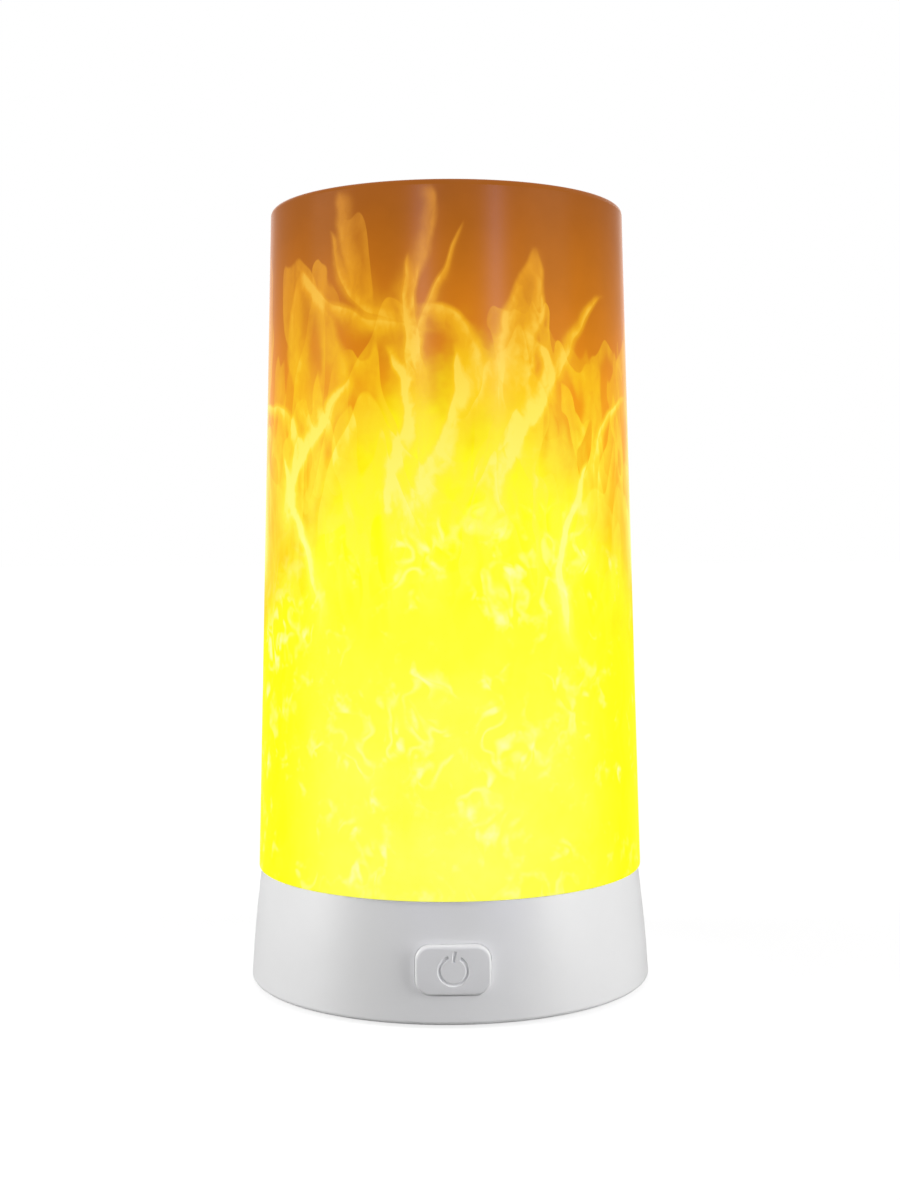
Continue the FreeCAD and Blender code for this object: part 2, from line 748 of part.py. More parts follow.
def feet():
    """Rubber pads glued into the cover's recesses; the lamp stands on them."""
    height = dim.foot_proud + dim.cover_inset + dim.foot_recess
    for index, angle in enumerate(FOOT_ANGLES, start=1):
        body = new_body(f"foot_{index}")
        section = flat_sketch(body, "pad_section", "XZ")
        rectangle(section, 0, dim.foot_radius, 0, height)
        pad = turned(body, "pad", section)
        rounded(body, "pad_corner", pad, edges_at(pad, "z", 0, dim.foot_radius), dim.foot_edge)
        x, y = polar(cover_radius - dim.foot_margin - dim.foot_radius, angle)
        place(body, x, y, 0)


def power_button():
    """Soft push button: cap in the window, flange behind it and a stem to the switch."""
    body = new_body("power_button")
    cap = flat_sketch(body, "cap_outline", "XZ")
    rounded_rectangle(cap, dim.button_width, dim.button_tall, dim.button_corner)
    cap_pad = raised(body, "cap", cap, button_face)
    rounded(body, "cap_corner", cap_pad, edges_at(cap_pad, "y", -button_face), dim.button_edge)
    flange = flat_sketch(body, "flange_outline", "XZ")
    rounded_rectangle(flange, flange_width, flange_tall, flange_corner)
    raised(body, "flange", flange, dim.flange_thickness, backwards=True)
    stem = flat_sketch(body, "stem_outline", "XZ")
    circle(stem, 0, 0, dim.stem_radius)
    raised(body, "stem", stem, dim.flange_thickness + dim.stem_length, backwards=True)
    place(body, y=-frame_face, z=dim.foot_proud + button_height)


plunger_tip = frame_face - dim.flange_thickness - dim.stem_length
switch_front = plunger_tip - dim.plunger_reach


def switch():
    """Side-push switch on the board's front edge: moulded body and round plunger."""
    body = new_body("switch_body")
    base = flat_sketch(body, "case_outline", "XZ")
    half = dim.switch_width / 2
    rectangle(base, -half, half, -dim.switch_tall / 2, dim.switch_tall / 2)
    raised(body, "case", base, dim.switch_depth, backwards=True)
    bore = flat_sketch(body, "bore_outline", "XZ")
    circle(bore, 0, 0, dim.plunger_radius + dim.plunger_clearance)
    cut(body, "bore", bore, dim.plunger_hold + dim.plunger_spare)
    place(body, y=-switch_front, z=dim.foot_proud + button_height)

    plunger = new_body("switch_plunger")
    section = flat_sketch(plunger, "plunger_outline", "XZ")
    circle(section, 0, 0, dim.plunger_radius)
    raised(plunger, "plunger", section, dim.plunger_reach + dim.plunger_hold, backwards=True)
    place(plunger, y=-plunger_tip, z=dim.foot_proud + button_height)


def control_board():
    """Glass-fibre board, cut to the shell's inside and held by four screws from below."""
    body = new_body("control_board")
    disc = flat_sketch(body, "board_disc", "XY")
    circle(disc, 0, 0, board_radius)
    raised(body, "disc", disc, dim.board_thickness, backwards=True)
    trim = flat_sketch(body, "board_trim", "XY")
    beyond = board_radius + dim.cut_margin * 2
    rectangle(trim, -beyond, beyond, -beyond, beyond)
    front = switch_front + dim.board_setback
    rectangle(trim, -board_half_width, board_half_width, -front, board_radius + dim.cut_margin)
    cut(body, "trim", trim, dim.board_thickness)
    holes = flat_sketch(body, "board_holes", "XY")
    for x, y in post_places():
        circle(holes, x, y, dim.board_screw_radius + dim.screw_clearance)
    cut(body, "holes", holes, dim.board_thickness)
    place(body, z=dim.foot_proud + board_top)


def board_screws():
    seat = dim.foot_proud + board_top - dim.board_thickness
    for index, (x, y) in enumerate(post_places(), start=1):
        body = screw(
            f"board_screw_{index}",
            dim.board_head_radius,
            dim.board_head_height,
            dim.board_screw_radius,
            dim.board_screw_length,
        )
        place(body, x, y, seat)


def charging_socket():
    """Stamped steel shell of the charging socket and the moulded insert inside it."""
    shell = new_body("usb_shell")
    outer = flat_sketch(shell, "shell_outline", "XZ")
    rounded_rectangle(outer, dim.usb_width, dim.usb_tall, dim.usb_tall / 2 - dim.usb_shell_wall / 2)
    raised(shell, "sleeve", outer, dim.usb_depth)
    inner = flat_sketch(shell, "bore_outline", "XZ", dim.usb_depth)
    bore_width = dim.usb_width - dim.usb_shell_wall * 2
    bore_tall = dim.usb_tall - dim.usb_shell_wall * 2
    bore_corner = bore_tall / 2 - dim.usb_shell_wall / 2
    rounded_rectangle(inner, bore_width, bore_tall, bore_corner)
    cut(shell, "bore", inner, dim.usb_depth)
    place(shell, y=usb_mouth, z=dim.foot_proud + usb_height)

    insert = new_body("usb_insert")
    block = flat_sketch(insert, "block_outline", "XZ", dim.usb_depth)
    play = dim.insert_gap * 2
    rounded_rectangle(block, bore_width - play, bore_tall - play, bore_corner)
    raised(insert, "block", block, dim.insert_block, backwards=True)
    tongue = flat_sketch(insert, "tongue_outline", "XZ", dim.usb_depth)
    half = dim.tongue_width / 2
    rectangle(tongue, -half, half, -dim.tongue_thickness / 2, dim.tongue_thickness / 2)
    raised(insert, "tongue", tongue, dim.usb_depth - dim.tongue_setback, backwards=True)
    place(insert, y=usb_mouth, z=dim.foot_proud + usb_height)


def chip(name, length, leads_a_side, x, y):
    """Moulded chip with a row of bent leads on each long side."""
    body = new_body(name)
    pins = int(leads_a_side.number)
    case = flat_sketch(body, "case_outline", "XY")
    half_width = dim.chip_width / 2
    rectangle(case, -length / 2, length / 2, -half_width, half_width)
    case_pad = raised(body, "case", case, dim.chip_thickness)
    top_edges = edges_at(case_pad, "z", dim.chip_thickness)
    bevelled(body, "case_edge", case_pad, top_edges, dim.chip_edge)
    leads = flat_sketch(body, "lead_outline", "XY")
    for pin in range(pins):
        middle = dim.lead_pitch * (pin - (pins - 1) / 2)
        for side in (-1, 1):
            root = half_width * side
            tip = (half_width + dim.lead_reach) * side
            low, high = (root, tip) if side > 0 else (tip, root)
            rectangle(leads, middle - dim.lead_width / 2, middle + dim.lead_width / 2, low, high)
    raised(body, "leads", leads, dim.lead_thickness)
    place(body, x, y, dim.foot_proud + board_top)


def boost_inductor():
    """Shielded coil block that stands on the board."""
    body = new_body("boost_inductor")
    block = flat_sketch(body, "block_outline", "XY")
    rounded_rectangle(block, dim.inductor_side, dim.inductor_side, dim.inductor_corner)
    raised(body, "block", block, dim.inductor_tall)
    place(body, dim.power_parts_x, dim.power_parts_y, dim.foot_proud + board_top)


socket_bore_width = dim.battery_socket_width - dim.battery_plug_wall * 2
socket_bore_depth = dim.battery_socket_depth - dim.battery_plug_wall * 2
wire_foot = dim.foot_proud + board_top + dim.battery_plug_floor + dim.battery_plug_tall


def battery_connector():
    """Open-topped socket on the board and the plug that sits in it."""
    socket = new_body("battery_socket")
    case = flat_sketch(socket, "case_outline", "XY")
    half_width = dim.battery_socket_width / 2
    half_depth = dim.battery_socket_depth / 2
    rectangle(case, -half_width, half_width, -half_depth, half_depth)
    raised(socket, "case", case, dim.battery_socket_tall)
    bore = flat_sketch(socket, "bore_outline", "XY", dim.battery_socket_tall)
    bore_half_width = socket_bore_width / 2
    bore_half_depth = socket_bore_depth / 2
    rectangle(bore, -bore_half_width, bore_half_width, -bore_half_depth, bore_half_depth)
    cut(socket, "bore", bore, dim.battery_socket_tall - dim.battery_plug_floor)
    place(socket, y=wire_y, z=dim.foot_proud + board_top)

    plug = new_body("battery_plug")
    block = flat_sketch(plug, "block_outline", "XY")
    plug_half_width = bore_half_width - dim.battery_plug_gap
    plug_half_depth = bore_half_depth - dim.battery_plug_gap
    rectangle(block, -plug_half_width, plug_half_width, -plug_half_depth, plug_half_depth)
    raised(plug, "block", block, dim.battery_plug_tall)
    place(plug, y=wire_y, z=dim.foot_proud + board_top + dim.battery_plug_floor)


def led_socket():
    """Upright socket on the board for the LED board's tail."""
    body = new_body("led_socket")
    middle = flex_inner_radius + dim.flex_thickness / 2
    case = flat_sketch(body, "case_outline", "XY")
    half_width = dim.led_socket_width / 2
    half_depth = dim.led_socket_depth / 2
    rectangle(case, -half_width, half_width, -half_depth, half_depth)
    raised(body, "case", case, dim.led_socket_tall)
    slot = flat_sketch(body, "slot_outline", "XY", dim.led_socket_tall)
    slot_half_width = dim.tail_width / 2 + dim.tail_clearance
    slot_half_depth = dim.flex_thickness / 2 + dim.tail_clearance
    rectangle(slot, -slot_half_width, slot_half_width, -slot_half_depth, slot_half_depth)
    cut(body, "slot", slot, dim.led_socket_tall - dim.led_socket_floor)
    place(body, y=middle, z=dim.foot_proud + board_top)


flex_low = dim.core_flange_thickness + dim.flex_rise
core_height = dim.shade_height - dim.shade_wall - dim.core_headroom - dim.cap_thickness
flex_height = core_height - dim.core_margin - flex_low
led_row_pitch = (flex_height - dim.flex_margin * 2 - dim.led_tall) / (dim.led_rows - 1)
bulkhead_low = cell_foot + dim.cell_length + dim.tab_thickness + dim.bulkhead_gap


def led_core():
    """Moulded tube on the deck that holds the cell inside and the LED board outside."""
    body = new_body("led_core")
    section = flat_sketch(body, "tube_section", "XZ")
    outline(section, [
        (core_inner_radius, 0),
        (dim.core_flange_radius, 0),
        (dim.core_flange_radius, dim.core_flange_thickness),
        (core_radius, dim.core_flange_thickness),
        (core_radius, core_height),
        (core_inner_radius, core_height),
    ])
    turned(body, "tube", section)
    bulkhead = flat_sketch(body, "bulkhead_outline", "XY", bulkhead_low)
    circle(bulkhead, 0, 0, core_radius - dim.core_wall / 2)
    raised(body, "bulkhead", bulkhead, dim.bulkhead_thickness)
    rib = flat_sketch(body, "rib_outline", "XY", 0, CORE_SCREW_ANGLES[0])
    rib_half = dim.rib_width / 2
    rib_inner = dim.cell_radius + dim.cell_gap
    rectangle(rib, rib_inner, core_radius - dim.core_wall / 2, -rib_half, rib_half)
    rib_pad = raised(body, "cell_rib", rib, bulkhead_low)
    hole = flat_sketch(body, "flange_hole_outline", "XY", 0, CORE_SCREW_ANGLES[0])
    circle(hole, core_screw_ring, 0, dim.core_screw_radius + dim.screw_clearance)
    hole_cut = cut(body, "flange_hole", hole, dim.core_flange_thickness, forwards=True)
    repeated(body, "ribs_and_holes", [rib_pad, hole_cut], len(CORE_SCREW_ANGLES))
    slot = flat_sketch(body, "tail_slot_outline", "XY")
    tail_slot(slot)
    cut(body, "tail_slot", slot, flex_low, forwards=True)
    place(body, z=seam)


def core_screws():
    for index, angle in enumerate(CORE_SCREW_ANGLES, start=1):
        body = screw(
            f"core_screw_{index}",
            dim.core_head_radius,
            dim.core_head_height,
            dim.core_screw_radius,
            dim.core_screw_length,
        )
        x, y = polar(core_screw_ring, angle)
        place(body, x, y, seam + dim.core_flange_thickness, upside_down=True)


def core_cap():
    """Lid pressed into the top of the LED core."""
    body = new_body("core_cap")
    skirt_radius = core_inner_radius - dim.cap_gap
    section = flat_sketch(body, "cap_section", "XZ")
    outline(section, [
        (0, 0),
        (skirt_radius - dim.cap_skirt_wall, 0),
        (skirt_radius - dim.cap_skirt_wall, -dim.cap_skirt),
        (skirt_radius, -dim.cap_skirt),
        (skirt_radius, 0),
        (core_radius, 0),
        (core_radius, dim.cap_thickness),
        (0, dim.cap_thickness),
    ])
    lid = turned(body, "lid", section)
    rim = edges_at(lid, "z", dim.cap_thickness, core_radius)
    rounded(body, "lid_corner", lid, rim, dim.cap_edge)
    place(body, z=seam + core_height)


def led_flex():
    """Flexible board wrapped once round the core, with a seam in front and a tail behind."""
    body = new_body("led_flex")
    ring = flat_sketch(body, "wrap_outline", "XY", flex_low)
    circle(ring, 0, 0, flex_outer_radius)
    circle(ring, 0, 0, flex_inner_radius)
    raised(body, "wrap", ring, flex_height)
    seam_gap = flat_sketch(body, "seam_outline", "XY", flex_low)
    half = dim.flex_seam / 2
    seam_front = -(flex_outer_radius + dim.cut_margin)
    rectangle(seam_gap, -half, half, seam_front, dim.cut_margin - flex_inner_radius)
    cut(body, "seam_gap", seam_gap, flex_height, forwards=True)
    tail_root = flex_low + dim.tail_overlap
    tail = flat_sketch(body, "tail_outline", "XY", tail_root)
    tail_half = dim.tail_width / 2
    rectangle(tail, -tail_half, tail_half, flex_inner_radius, flex_outer_radius)
    tail_foot = board_top - dim.base_height + dim.led_socket_floor + dim.tail_clearance
    raised(body, "tail", tail, tail_root - tail_foot, backwards=True)
    place(body, z=seam)


def led_rows():
    """One ring of surface-mounted LEDs for each row of the flame picture."""
    half_width = dim.led_width / 2
    half_tall = dim.led_tall / 2
    for row in range(int(dim.led_rows.number)):
        body = new_body(f"led_row_{row + 1}")
        body.AllowCompound = True
        case = flat_sketch(body, "case_outline", "XZ", flex_outer_radius + dim.led_clearance)
        rectangle(case, -half_width, half_width, -half_tall, half_tall)
        led = raised(body, "led", case, dim.led_thickness)
        repeated(body, "ring_of_leds", [led], dim.led_columns)
        height = flex_low + dim.flex_margin + dim.led_tall / 2 + led_row_pitch * row
        place(body, z=seam + height)
        body.setExpression("Placement.Rotation.Angle", "180 / Dims.led_columns")


def battery():
    """Rechargeable cell, its foam pad, two nickel tabs and the leads to the plug."""
    pad = new_body("cell_pad")
    disc = flat_sketch(pad, "pad_outline", "XY")
    circle(disc, 0, 0, dim.pad_radius)
    raised(pad, "pad", disc, dim.pad_thickness)
    place(pad, z=seam)

    cell = new_body("battery_cell")
    section = flat_sketch(cell, "can_section", "XZ")
    rectangle(section, 0, dim.cell_radius, 0, dim.cell_length)
    can = turned(cell, "can", section)
    rims = edges_at(can, "z", 0, dim.cell_radius) + edges_at(can, "z", dim.cell_length, dim.cell_radius)
    rounded(cell, "can_corners", can, rims, dim.cell_edge)
    place(cell, z=seam + cell_foot)

    wire_tops = {}
    for name, level in (
        ("cell_tab_bottom", dim.pad_thickness),
        ("cell_tab_top", cell_foot + dim.cell_length),
    ):
        tab = new_body(name)
        side = flat_sketch(tab, "strip_section", "YZ", -dim.tab_width / 2)
        leg_outer = leg_y + dim.tab_thickness
        outline(side, [
            (-dim.tab_start, 0),
            (leg_y, 0),
            (leg_y, -dim.tab_leg),
            (leg_outer, -dim.tab_leg),
            (leg_outer, dim.tab_thickness),
            (-dim.tab_start, dim.tab_thickness),
        ])
        raised(tab, "strip", side, dim.tab_width)
        place(tab, z=seam + level)
        wire_tops[name] = seam + level

    for name, tab_name, across in (
        ("battery_lead_red", "cell_tab_top", -dim.plug_pitch / 2),
        ("battery_lead_black", "cell_tab_bottom", dim.plug_pitch / 2),
    ):
        lead = new_body(name)
        core = flat_sketch(lead, "lead_outline", "XY")
        circle(core, 0, 0, dim.wire_radius)
        raised(lead, "lead", core, wire_tops[tab_name] - wire_foot)
        place(lead, across, wire_y, wire_foot)


shade()
base_housing()
shade_seal()
bottom_cover()
cover_screws()
feet()
power_button()
switch()
control_board()
board_screws()
charging_socket()
controller_y = dim.controller_inset - switch_front
chip("controller_chip", dim.controller_length, dim.controller_leads, 0, controller_y)
charger_x = -dim.power_parts_x
chip("charger_chip", dim.charger_length, dim.charger_leads, charger_x, dim.power_parts_y)
boost_inductor()
battery_connector()
led_socket()
led_core()
core_screws()
core_cap()
led_flex()
led_rows()
battery()

doc.recompute()
for thing in doc.Objects:
    if "Invalid" in thing.State or "Error" in thing.State:
        raise SystemExit(f"{thing.Label} did not build: {thing.State}")
for body in sub_parts:
    if body.Shape.isNull() or not body.Shape.isValid():
        raise SystemExit(f"{body.Label} has no sound shape")

os.makedirs("parts", exist_ok=True)
for body in sub_parts:
    body.Shape.exportStep(os.path.join("parts", body.Label + ".step"))
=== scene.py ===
import math

import bmesh
import bpy
import numpy as np
from mathutils import Matrix, Vector


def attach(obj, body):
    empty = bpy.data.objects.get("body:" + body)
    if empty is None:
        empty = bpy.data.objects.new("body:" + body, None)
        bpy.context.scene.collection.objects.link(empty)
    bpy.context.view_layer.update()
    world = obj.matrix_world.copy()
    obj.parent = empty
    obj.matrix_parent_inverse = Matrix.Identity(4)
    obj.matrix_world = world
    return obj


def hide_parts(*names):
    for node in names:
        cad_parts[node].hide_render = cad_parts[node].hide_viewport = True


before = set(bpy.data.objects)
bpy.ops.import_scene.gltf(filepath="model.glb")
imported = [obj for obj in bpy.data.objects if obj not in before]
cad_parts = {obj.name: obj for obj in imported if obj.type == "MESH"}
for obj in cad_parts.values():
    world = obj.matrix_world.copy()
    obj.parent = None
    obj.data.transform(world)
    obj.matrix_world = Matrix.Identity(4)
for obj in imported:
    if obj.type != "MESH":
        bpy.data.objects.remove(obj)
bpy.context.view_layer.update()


# Camera: level with the middle of the lamp, a short distance in front of it and tipped
# slightly down, as the photograph was taken. Places and sizes are in metres.
camera = bpy.data.objects.new("camera", bpy.data.cameras.new("camera"))
bpy.context.collection.objects.link(camera)
camera.data.lens = 50
camera.data.sensor_width = 36
camera.data.clip_start = 0.01
round_lamp = Matrix.Rotation(math.radians(-0.8), 4, "Z")
stand = Matrix.Translation((0.00033, -0.3442, 0.09176))
pitch = Matrix.Rotation(math.radians(90 - 2.41), 4, "X")
roll = Matrix.Rotation(-0.0055, 4, "Z")
camera.matrix_world = round_lamp @ stand @ pitch @ roll
bpy.context.scene.camera = camera
bpy.context.scene.view_settings.view_transform = "Standard"


# Studio: white behind everything that is looked at or mirrored, and a weaker even light
# on the lamp itself, so that its white plastic stays below white.
def feed(tree, made, inputs):
    """Links each input to a node or to one of its outputs, or sets it to a plain value."""
    for name, value in inputs.items():
        if isinstance(value, bpy.types.Node):
            value = value.outputs[0]
        if isinstance(value, bpy.types.NodeSocket):
            tree.links.new(value, made.inputs[name])
        else:
            made.inputs[name].default_value = value


def node(tree, kind, inputs=None, stops=(), **settings):
    """Adds a shader node with its settings, inputs and, for a ramp, (place, colour) stops."""
    made = tree.nodes.new("ShaderNode" + kind)
    for name, value in settings.items():
        setattr(made, name, value)
    for index, (place, colour) in enumerate(stops):
        element = made.color_ramp.elements[index] if index < 2 else made.color_ramp.elements.new(place)
        element.position = place
        element.color = colour
    feed(tree, made, inputs or {})
    return made


world = bpy.data.worlds.new("studio")
world.use_nodes = True
bpy.context.scene.world = world
tree = world.node_tree
tree.nodes.clear()
path = node(tree, "LightPath")
seen = path.outputs["Is Camera Ray"]
for other in ("Is Glossy Ray", "Is Transmission Ray"):
    seen = node(tree, "Math", {0: seen, 1: path.outputs[other]}, operation="MAXIMUM")
fill = node(tree, "Background", {"Color": (1, 1, 1, 1), "Strength": 0.175})
white = node(tree, "Background", {"Color": (1, 1, 1, 1), "Strength": 1.0})
both = node(tree, "MixShader", {0: seen, 1: fill, 2: white})
node(tree, "OutputWorld", {"Surface": both})

# Two tall soft boxes at the sides and wide ones overhead and behind. Two narrow strips in
# front are only seen mirrored, as the faint upright reflections near the top of the shade.
neutral = (1, 1, 1)
bluish = (0.6, 0.6, 1)
for name, place, aim, width, height, watts, colour in (
    ("soft_box_left", (-0.62, -0.12, 0.20), (0, 0, 0.06), 0.30, 0.6, 4.2, neutral),
    ("soft_box_right", (0.58, -0.27, 0.20), (0, 0, 0.06), 0.34, 0.6, 4.2, neutral),
    ("soft_box_top", (0.0, 0.10, 0.75), (0, 0, 0), 0.7, 0.7, 0.5, neutral),
    ("soft_box_back", (0.0, 0.7, 0.3), (0, 0, 0.06), 0.8, 0.5, 1.0, neutral),
    ("strip_right", (0.28, -0.50, 0.245), (0, 0, 0.14), 0.033, 0.12, 3.0, bluish),
    ("strip_left", (-0.155, -0.56, 0.25), (0, 0, 0.14), 0.028, 0.10, 2.6, bluish),
):
    light = bpy.data.lights.new(name, "AREA")
    light.shape = "RECTANGLE"
    light.size = width
    light.size_y = height
    light.energy = watts
    light.color = colour
    lamp = bpy.data.objects.new(name, light)
    bpy.context.collection.objects.link(lamp)
    lamp.location = place
    lamp.rotation_euler = (Vector(aim) - Vector(place)).to_track_quat("-Z", "Y").to_euler()
    lamp.visible_diffuse = not name.startswith("strip")


# Floor: a pale sheet of paper that shades to white and keeps a faint shadow. It lies a tenth
# of a millimetre under the feet, so that paper and rubber never share a plane.
def linear(hex_colour, share=1.0):
    """A written sRGB colour such as #c3c3c3 as linear RGBA, each channel times share."""
    parts = [int(hex_colour[i:i + 2], 16) / 255 for i in (1, 3, 5)]
    light = [p / 12.92 if p <= 0.04045 else ((p + 0.055) / 1.055) ** 2.4 for p in parts]
    return (*[share * p for p in light], 1.0)


def started(name):
    """A new material, its node tree, its shader and the point in the piece's own frame."""
    material = bpy.data.materials.new(name)
    material.use_nodes = True
    tree = material.node_tree
    return material, tree, tree.nodes["Principled BSDF"], node(tree, "TexCoord").outputs["Object"]


bpy.ops.mesh.primitive_plane_add(size=8, location=(0, 0, -0.0001))
floor = bpy.context.object
floor.name = "floor"
paper, tree, shader, spot = started("pale_floor_paper")
away = node(tree, "VectorMath", {0: spot}, operation="LENGTH").outputs["Value"]
lift = node(tree, "MapRange", {"Value": away, "From Min": 0.1, "From Max": 0.9, "To Min": 0.8, "To Max": 1.0})
looked_at = node(tree, "LightPath").outputs["Is Camera Ray"]
feed(tree, shader, {
    "Base Color": linear("#9a9a9a"),
    "Roughness": 0.9,
    "Specular IOR Level": 0.0,
    "Emission Color": linear("#ffffff"),
    "Emission Strength": node(tree, "Math", {0: looked_at, 1: lift}, operation="MULTIPLY"),
})
floor.data.materials.append(paper)


# Base housing and bottom cover: injection-moulded white ABS. The fine spark-eroded texture of the
# mould breaks up the shine and keeps the wall from looking like paint. Here and below, grain that
# is too fine to show is drawn coarser than the real one, at a seventh of a millimetre or more.
def grain_scale(size):
    """The scale of a pattern whose grains or cells are size millimetres across."""
    return 1000 / size


def moulded(name, colour, roughness, grain, bump, metallic=0.0):
    """Material of even colour with a fine grain, in millimetres, that varies its tone and shine."""
    material, tree, shader, point = started(name)
    fine = node(tree, "TexNoise", {
        "Vector": point, "Scale": grain_scale(grain), "Detail": 3.0, "Roughness": 0.6,
    })
    broad = node(tree, "TexNoise", {
        "Vector": point, "Scale": grain_scale(22.2), "Detail": 4.0, "Roughness": 0.6,
    })
    stops = [(0.3, linear(colour, 0.97)), (0.7, linear(colour))]
    feed(tree, shader, {
        "Base Color": node(tree, "ValToRGB", {"Fac": broad}, stops),
        "Roughness": node(tree, "MapRange", {
            "Value": broad, "From Min": 0.3, "From Max": 0.7,
            "To Min": roughness - 0.04, "To Max": roughness + 0.04,
        }),
        "Metallic": metallic,
        "Normal": node(tree, "Bump", {"Height": fine, "Strength": bump, "Distance": grain / 10000}),
    })
    return material


def dress(material, *names):
    """Puts the material on the CAD pieces of these names."""
    for name in names:
        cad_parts[name].material_slots[0].material = material


dress(moulded("white_moulded_abs", "#f1f1f1", 0.36, 0.35, 0.25), "base_housing", "bottom_cover")


# Power button: one moulding of white silicone. Its cap stands in the housing's window, the flange
# behind keeps it in, and the stem meets the switch. The on-off sign is sunk a quarter of a millimetre.
def solid(shape, **sizes):
    """Adds a basic shape by its operator and applies its place, turn and size to the mesh."""
    bpy.ops.object.select_all(action="DESELECT")
    shape(**sizes)
    bpy.ops.object.transform_apply(location=True, rotation=True, scale=True)
    return bpy.context.object


def pick(piece, kind, chosen):
    """In edit mode, selects only the edges or faces that chosen is true for."""
    bpy.ops.mesh.select_mode(type=kind)
    bpy.ops.mesh.select_all(action="DESELECT")
    shape = bmesh.from_edit_mesh(piece.data)
    for item in shape.edges if kind == "EDGE" else shape.faces:
        item.select_set(chosen(item))
    bmesh.update_edit_mesh(piece.data)


def combine(piece, tool, operation):
    """Adds the tool's shape to the piece or takes it away, and removes the tool."""
    bpy.ops.object.select_all(action="DESELECT")
    bpy.context.view_layer.objects.active = piece
    step = piece.modifiers.new("step", "BOOLEAN")
    step.operation = operation
    step.solver = "EXACT"
    step.object = tool
    bpy.ops.object.modifier_apply(modifier=step.name)
    bpy.data.objects.remove(tool)


button_middle = 0.0107
button_face = -0.0410
button_edge = 0.0006
flange_front = -0.03553
flange_thickness = 0.001
flange_corner = 0.0044
flange_margin = 0.00144
button = solid(
    bpy.ops.mesh.primitive_cube_add, size=1, scale=(0.017, flange_thickness, 0.0122),
    location=(0, flange_front + flange_thickness / 2, button_middle),
)
button.name = "power_button_moulding"
bpy.ops.object.mode_set(mode="EDIT")
pick(button, "EDGE", lambda edge: abs(edge.verts[0].co.y - edge.verts[1].co.y) > 0.9 * flange_thickness)
bpy.ops.mesh.bevel(offset=flange_corner, segments=10, affect="EDGES")
pick(button, "FACE", lambda face: face.normal.y < -0.9)
bpy.ops.mesh.inset(thickness=flange_margin)
bpy.ops.mesh.extrude_region_move(TRANSFORM_OT_translate={"value": (0, button_face - flange_front, 0)})
pick(button, "EDGE", lambda edge: all(v.co.y < button_face + 0.0001 for v in edge.verts))
bpy.ops.mesh.bevel(offset=button_edge, segments=6, affect="EDGES")
bpy.ops.object.mode_set(mode="OBJECT")
stem = solid(
    bpy.ops.mesh.primitive_cylinder_add, vertices=40, radius=0.0022, depth=0.00084,
    location=(0, -0.03461, button_middle), rotation=(math.pi / 2, 0, 0),
)

# The sign's cutters: a ring open at the top and a bar in the opening, both round in section.
sign_radius = 0.0026
groove_radius = 0.0004
groove_middle = button_face - 0.00015
ring = solid(
    bpy.ops.mesh.primitive_circle_add, vertices=16, radius=groove_radius, fill_type="NGON",
    location=(0, groove_middle, button_middle + sign_radius), rotation=(0, math.pi / 2, 0),
)
bpy.ops.object.mode_set(mode="EDIT")
bpy.ops.mesh.select_all(action="SELECT")
centre = Matrix.Translation((0, 0, button_middle))
shape = bmesh.from_edit_mesh(ring.data)
bmesh.ops.transform(
    shape, verts=shape.verts,
    matrix=centre @ Matrix.Rotation(math.radians(-20), 4, "Y") @ centre.inverted(),
)
bpy.ops.mesh.spin(steps=44, angle=math.radians(310), center=(0, button_face, button_middle), axis=(0, 1, 0))
bpy.ops.mesh.select_all(action="DESELECT")
bpy.ops.mesh.select_mode(type="EDGE")
bpy.ops.mesh.select_non_manifold()
bpy.ops.mesh.edge_face_add()
bpy.ops.mesh.select_all(action="SELECT")
bpy.ops.mesh.normals_make_consistent(inside=False)
bpy.ops.object.mode_set(mode="OBJECT")
bar = solid(
    bpy.ops.mesh.primitive_cylinder_add, vertices=16, radius=groove_radius, depth=0.0021,
    location=(0.0002, groove_middle, button_middle + sign_radius), rotation=(0, math.radians(8), 0),
)
combine(button, stem, "UNION")
combine(button, ring, "DIFFERENCE")
combine(button, bar, "DIFFERENCE")
button.select_set(True)
bpy.ops.object.shade_smooth_by_angle(angle=math.radians(32))
button.data.materials.clear()
button.data.materials.append(moulded("moulded_white_silicone", "#f3f3f3", 0.7, 0.2, 0.15))
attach(button, "button")
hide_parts("power_button")

# Side-push switch: glass-filled nylon case and an acetal plunger that the button's stem presses.
# The case stands on the board as a soldered part; its glass fibres leave it slightly rough.
dress(moulded("black_glass_filled_nylon", "#1a1a1b", 0.5, 0.15, 0.4), "switch_body")
dress(moulded("turned_acetal", "#d6cbb8", 0.35, 0.25, 0.15), "switch_plunger")


# Control board: glass-fibre laminate, 1.6 mm, under green solder mask. Tracks 0.3 mm wide show
# through the mask in fields that run either way, with tinned vias and tinned rings round the
# screw holes; the sawn edge shows the bare laminate.
def off_middle(tree, value, pitch, start=0.0):
    """How far value is from the middle of its step, as a share of the pitch."""
    steps = (("SUBTRACT", start), ("DIVIDE", pitch), ("FRACT", 0.0), ("SUBTRACT", 0.5), ("ABSOLUTE", 0.0))
    for operation, amount in steps:
        value = node(tree, "Math", {0: value, 1: amount}, operation=operation)
    return value


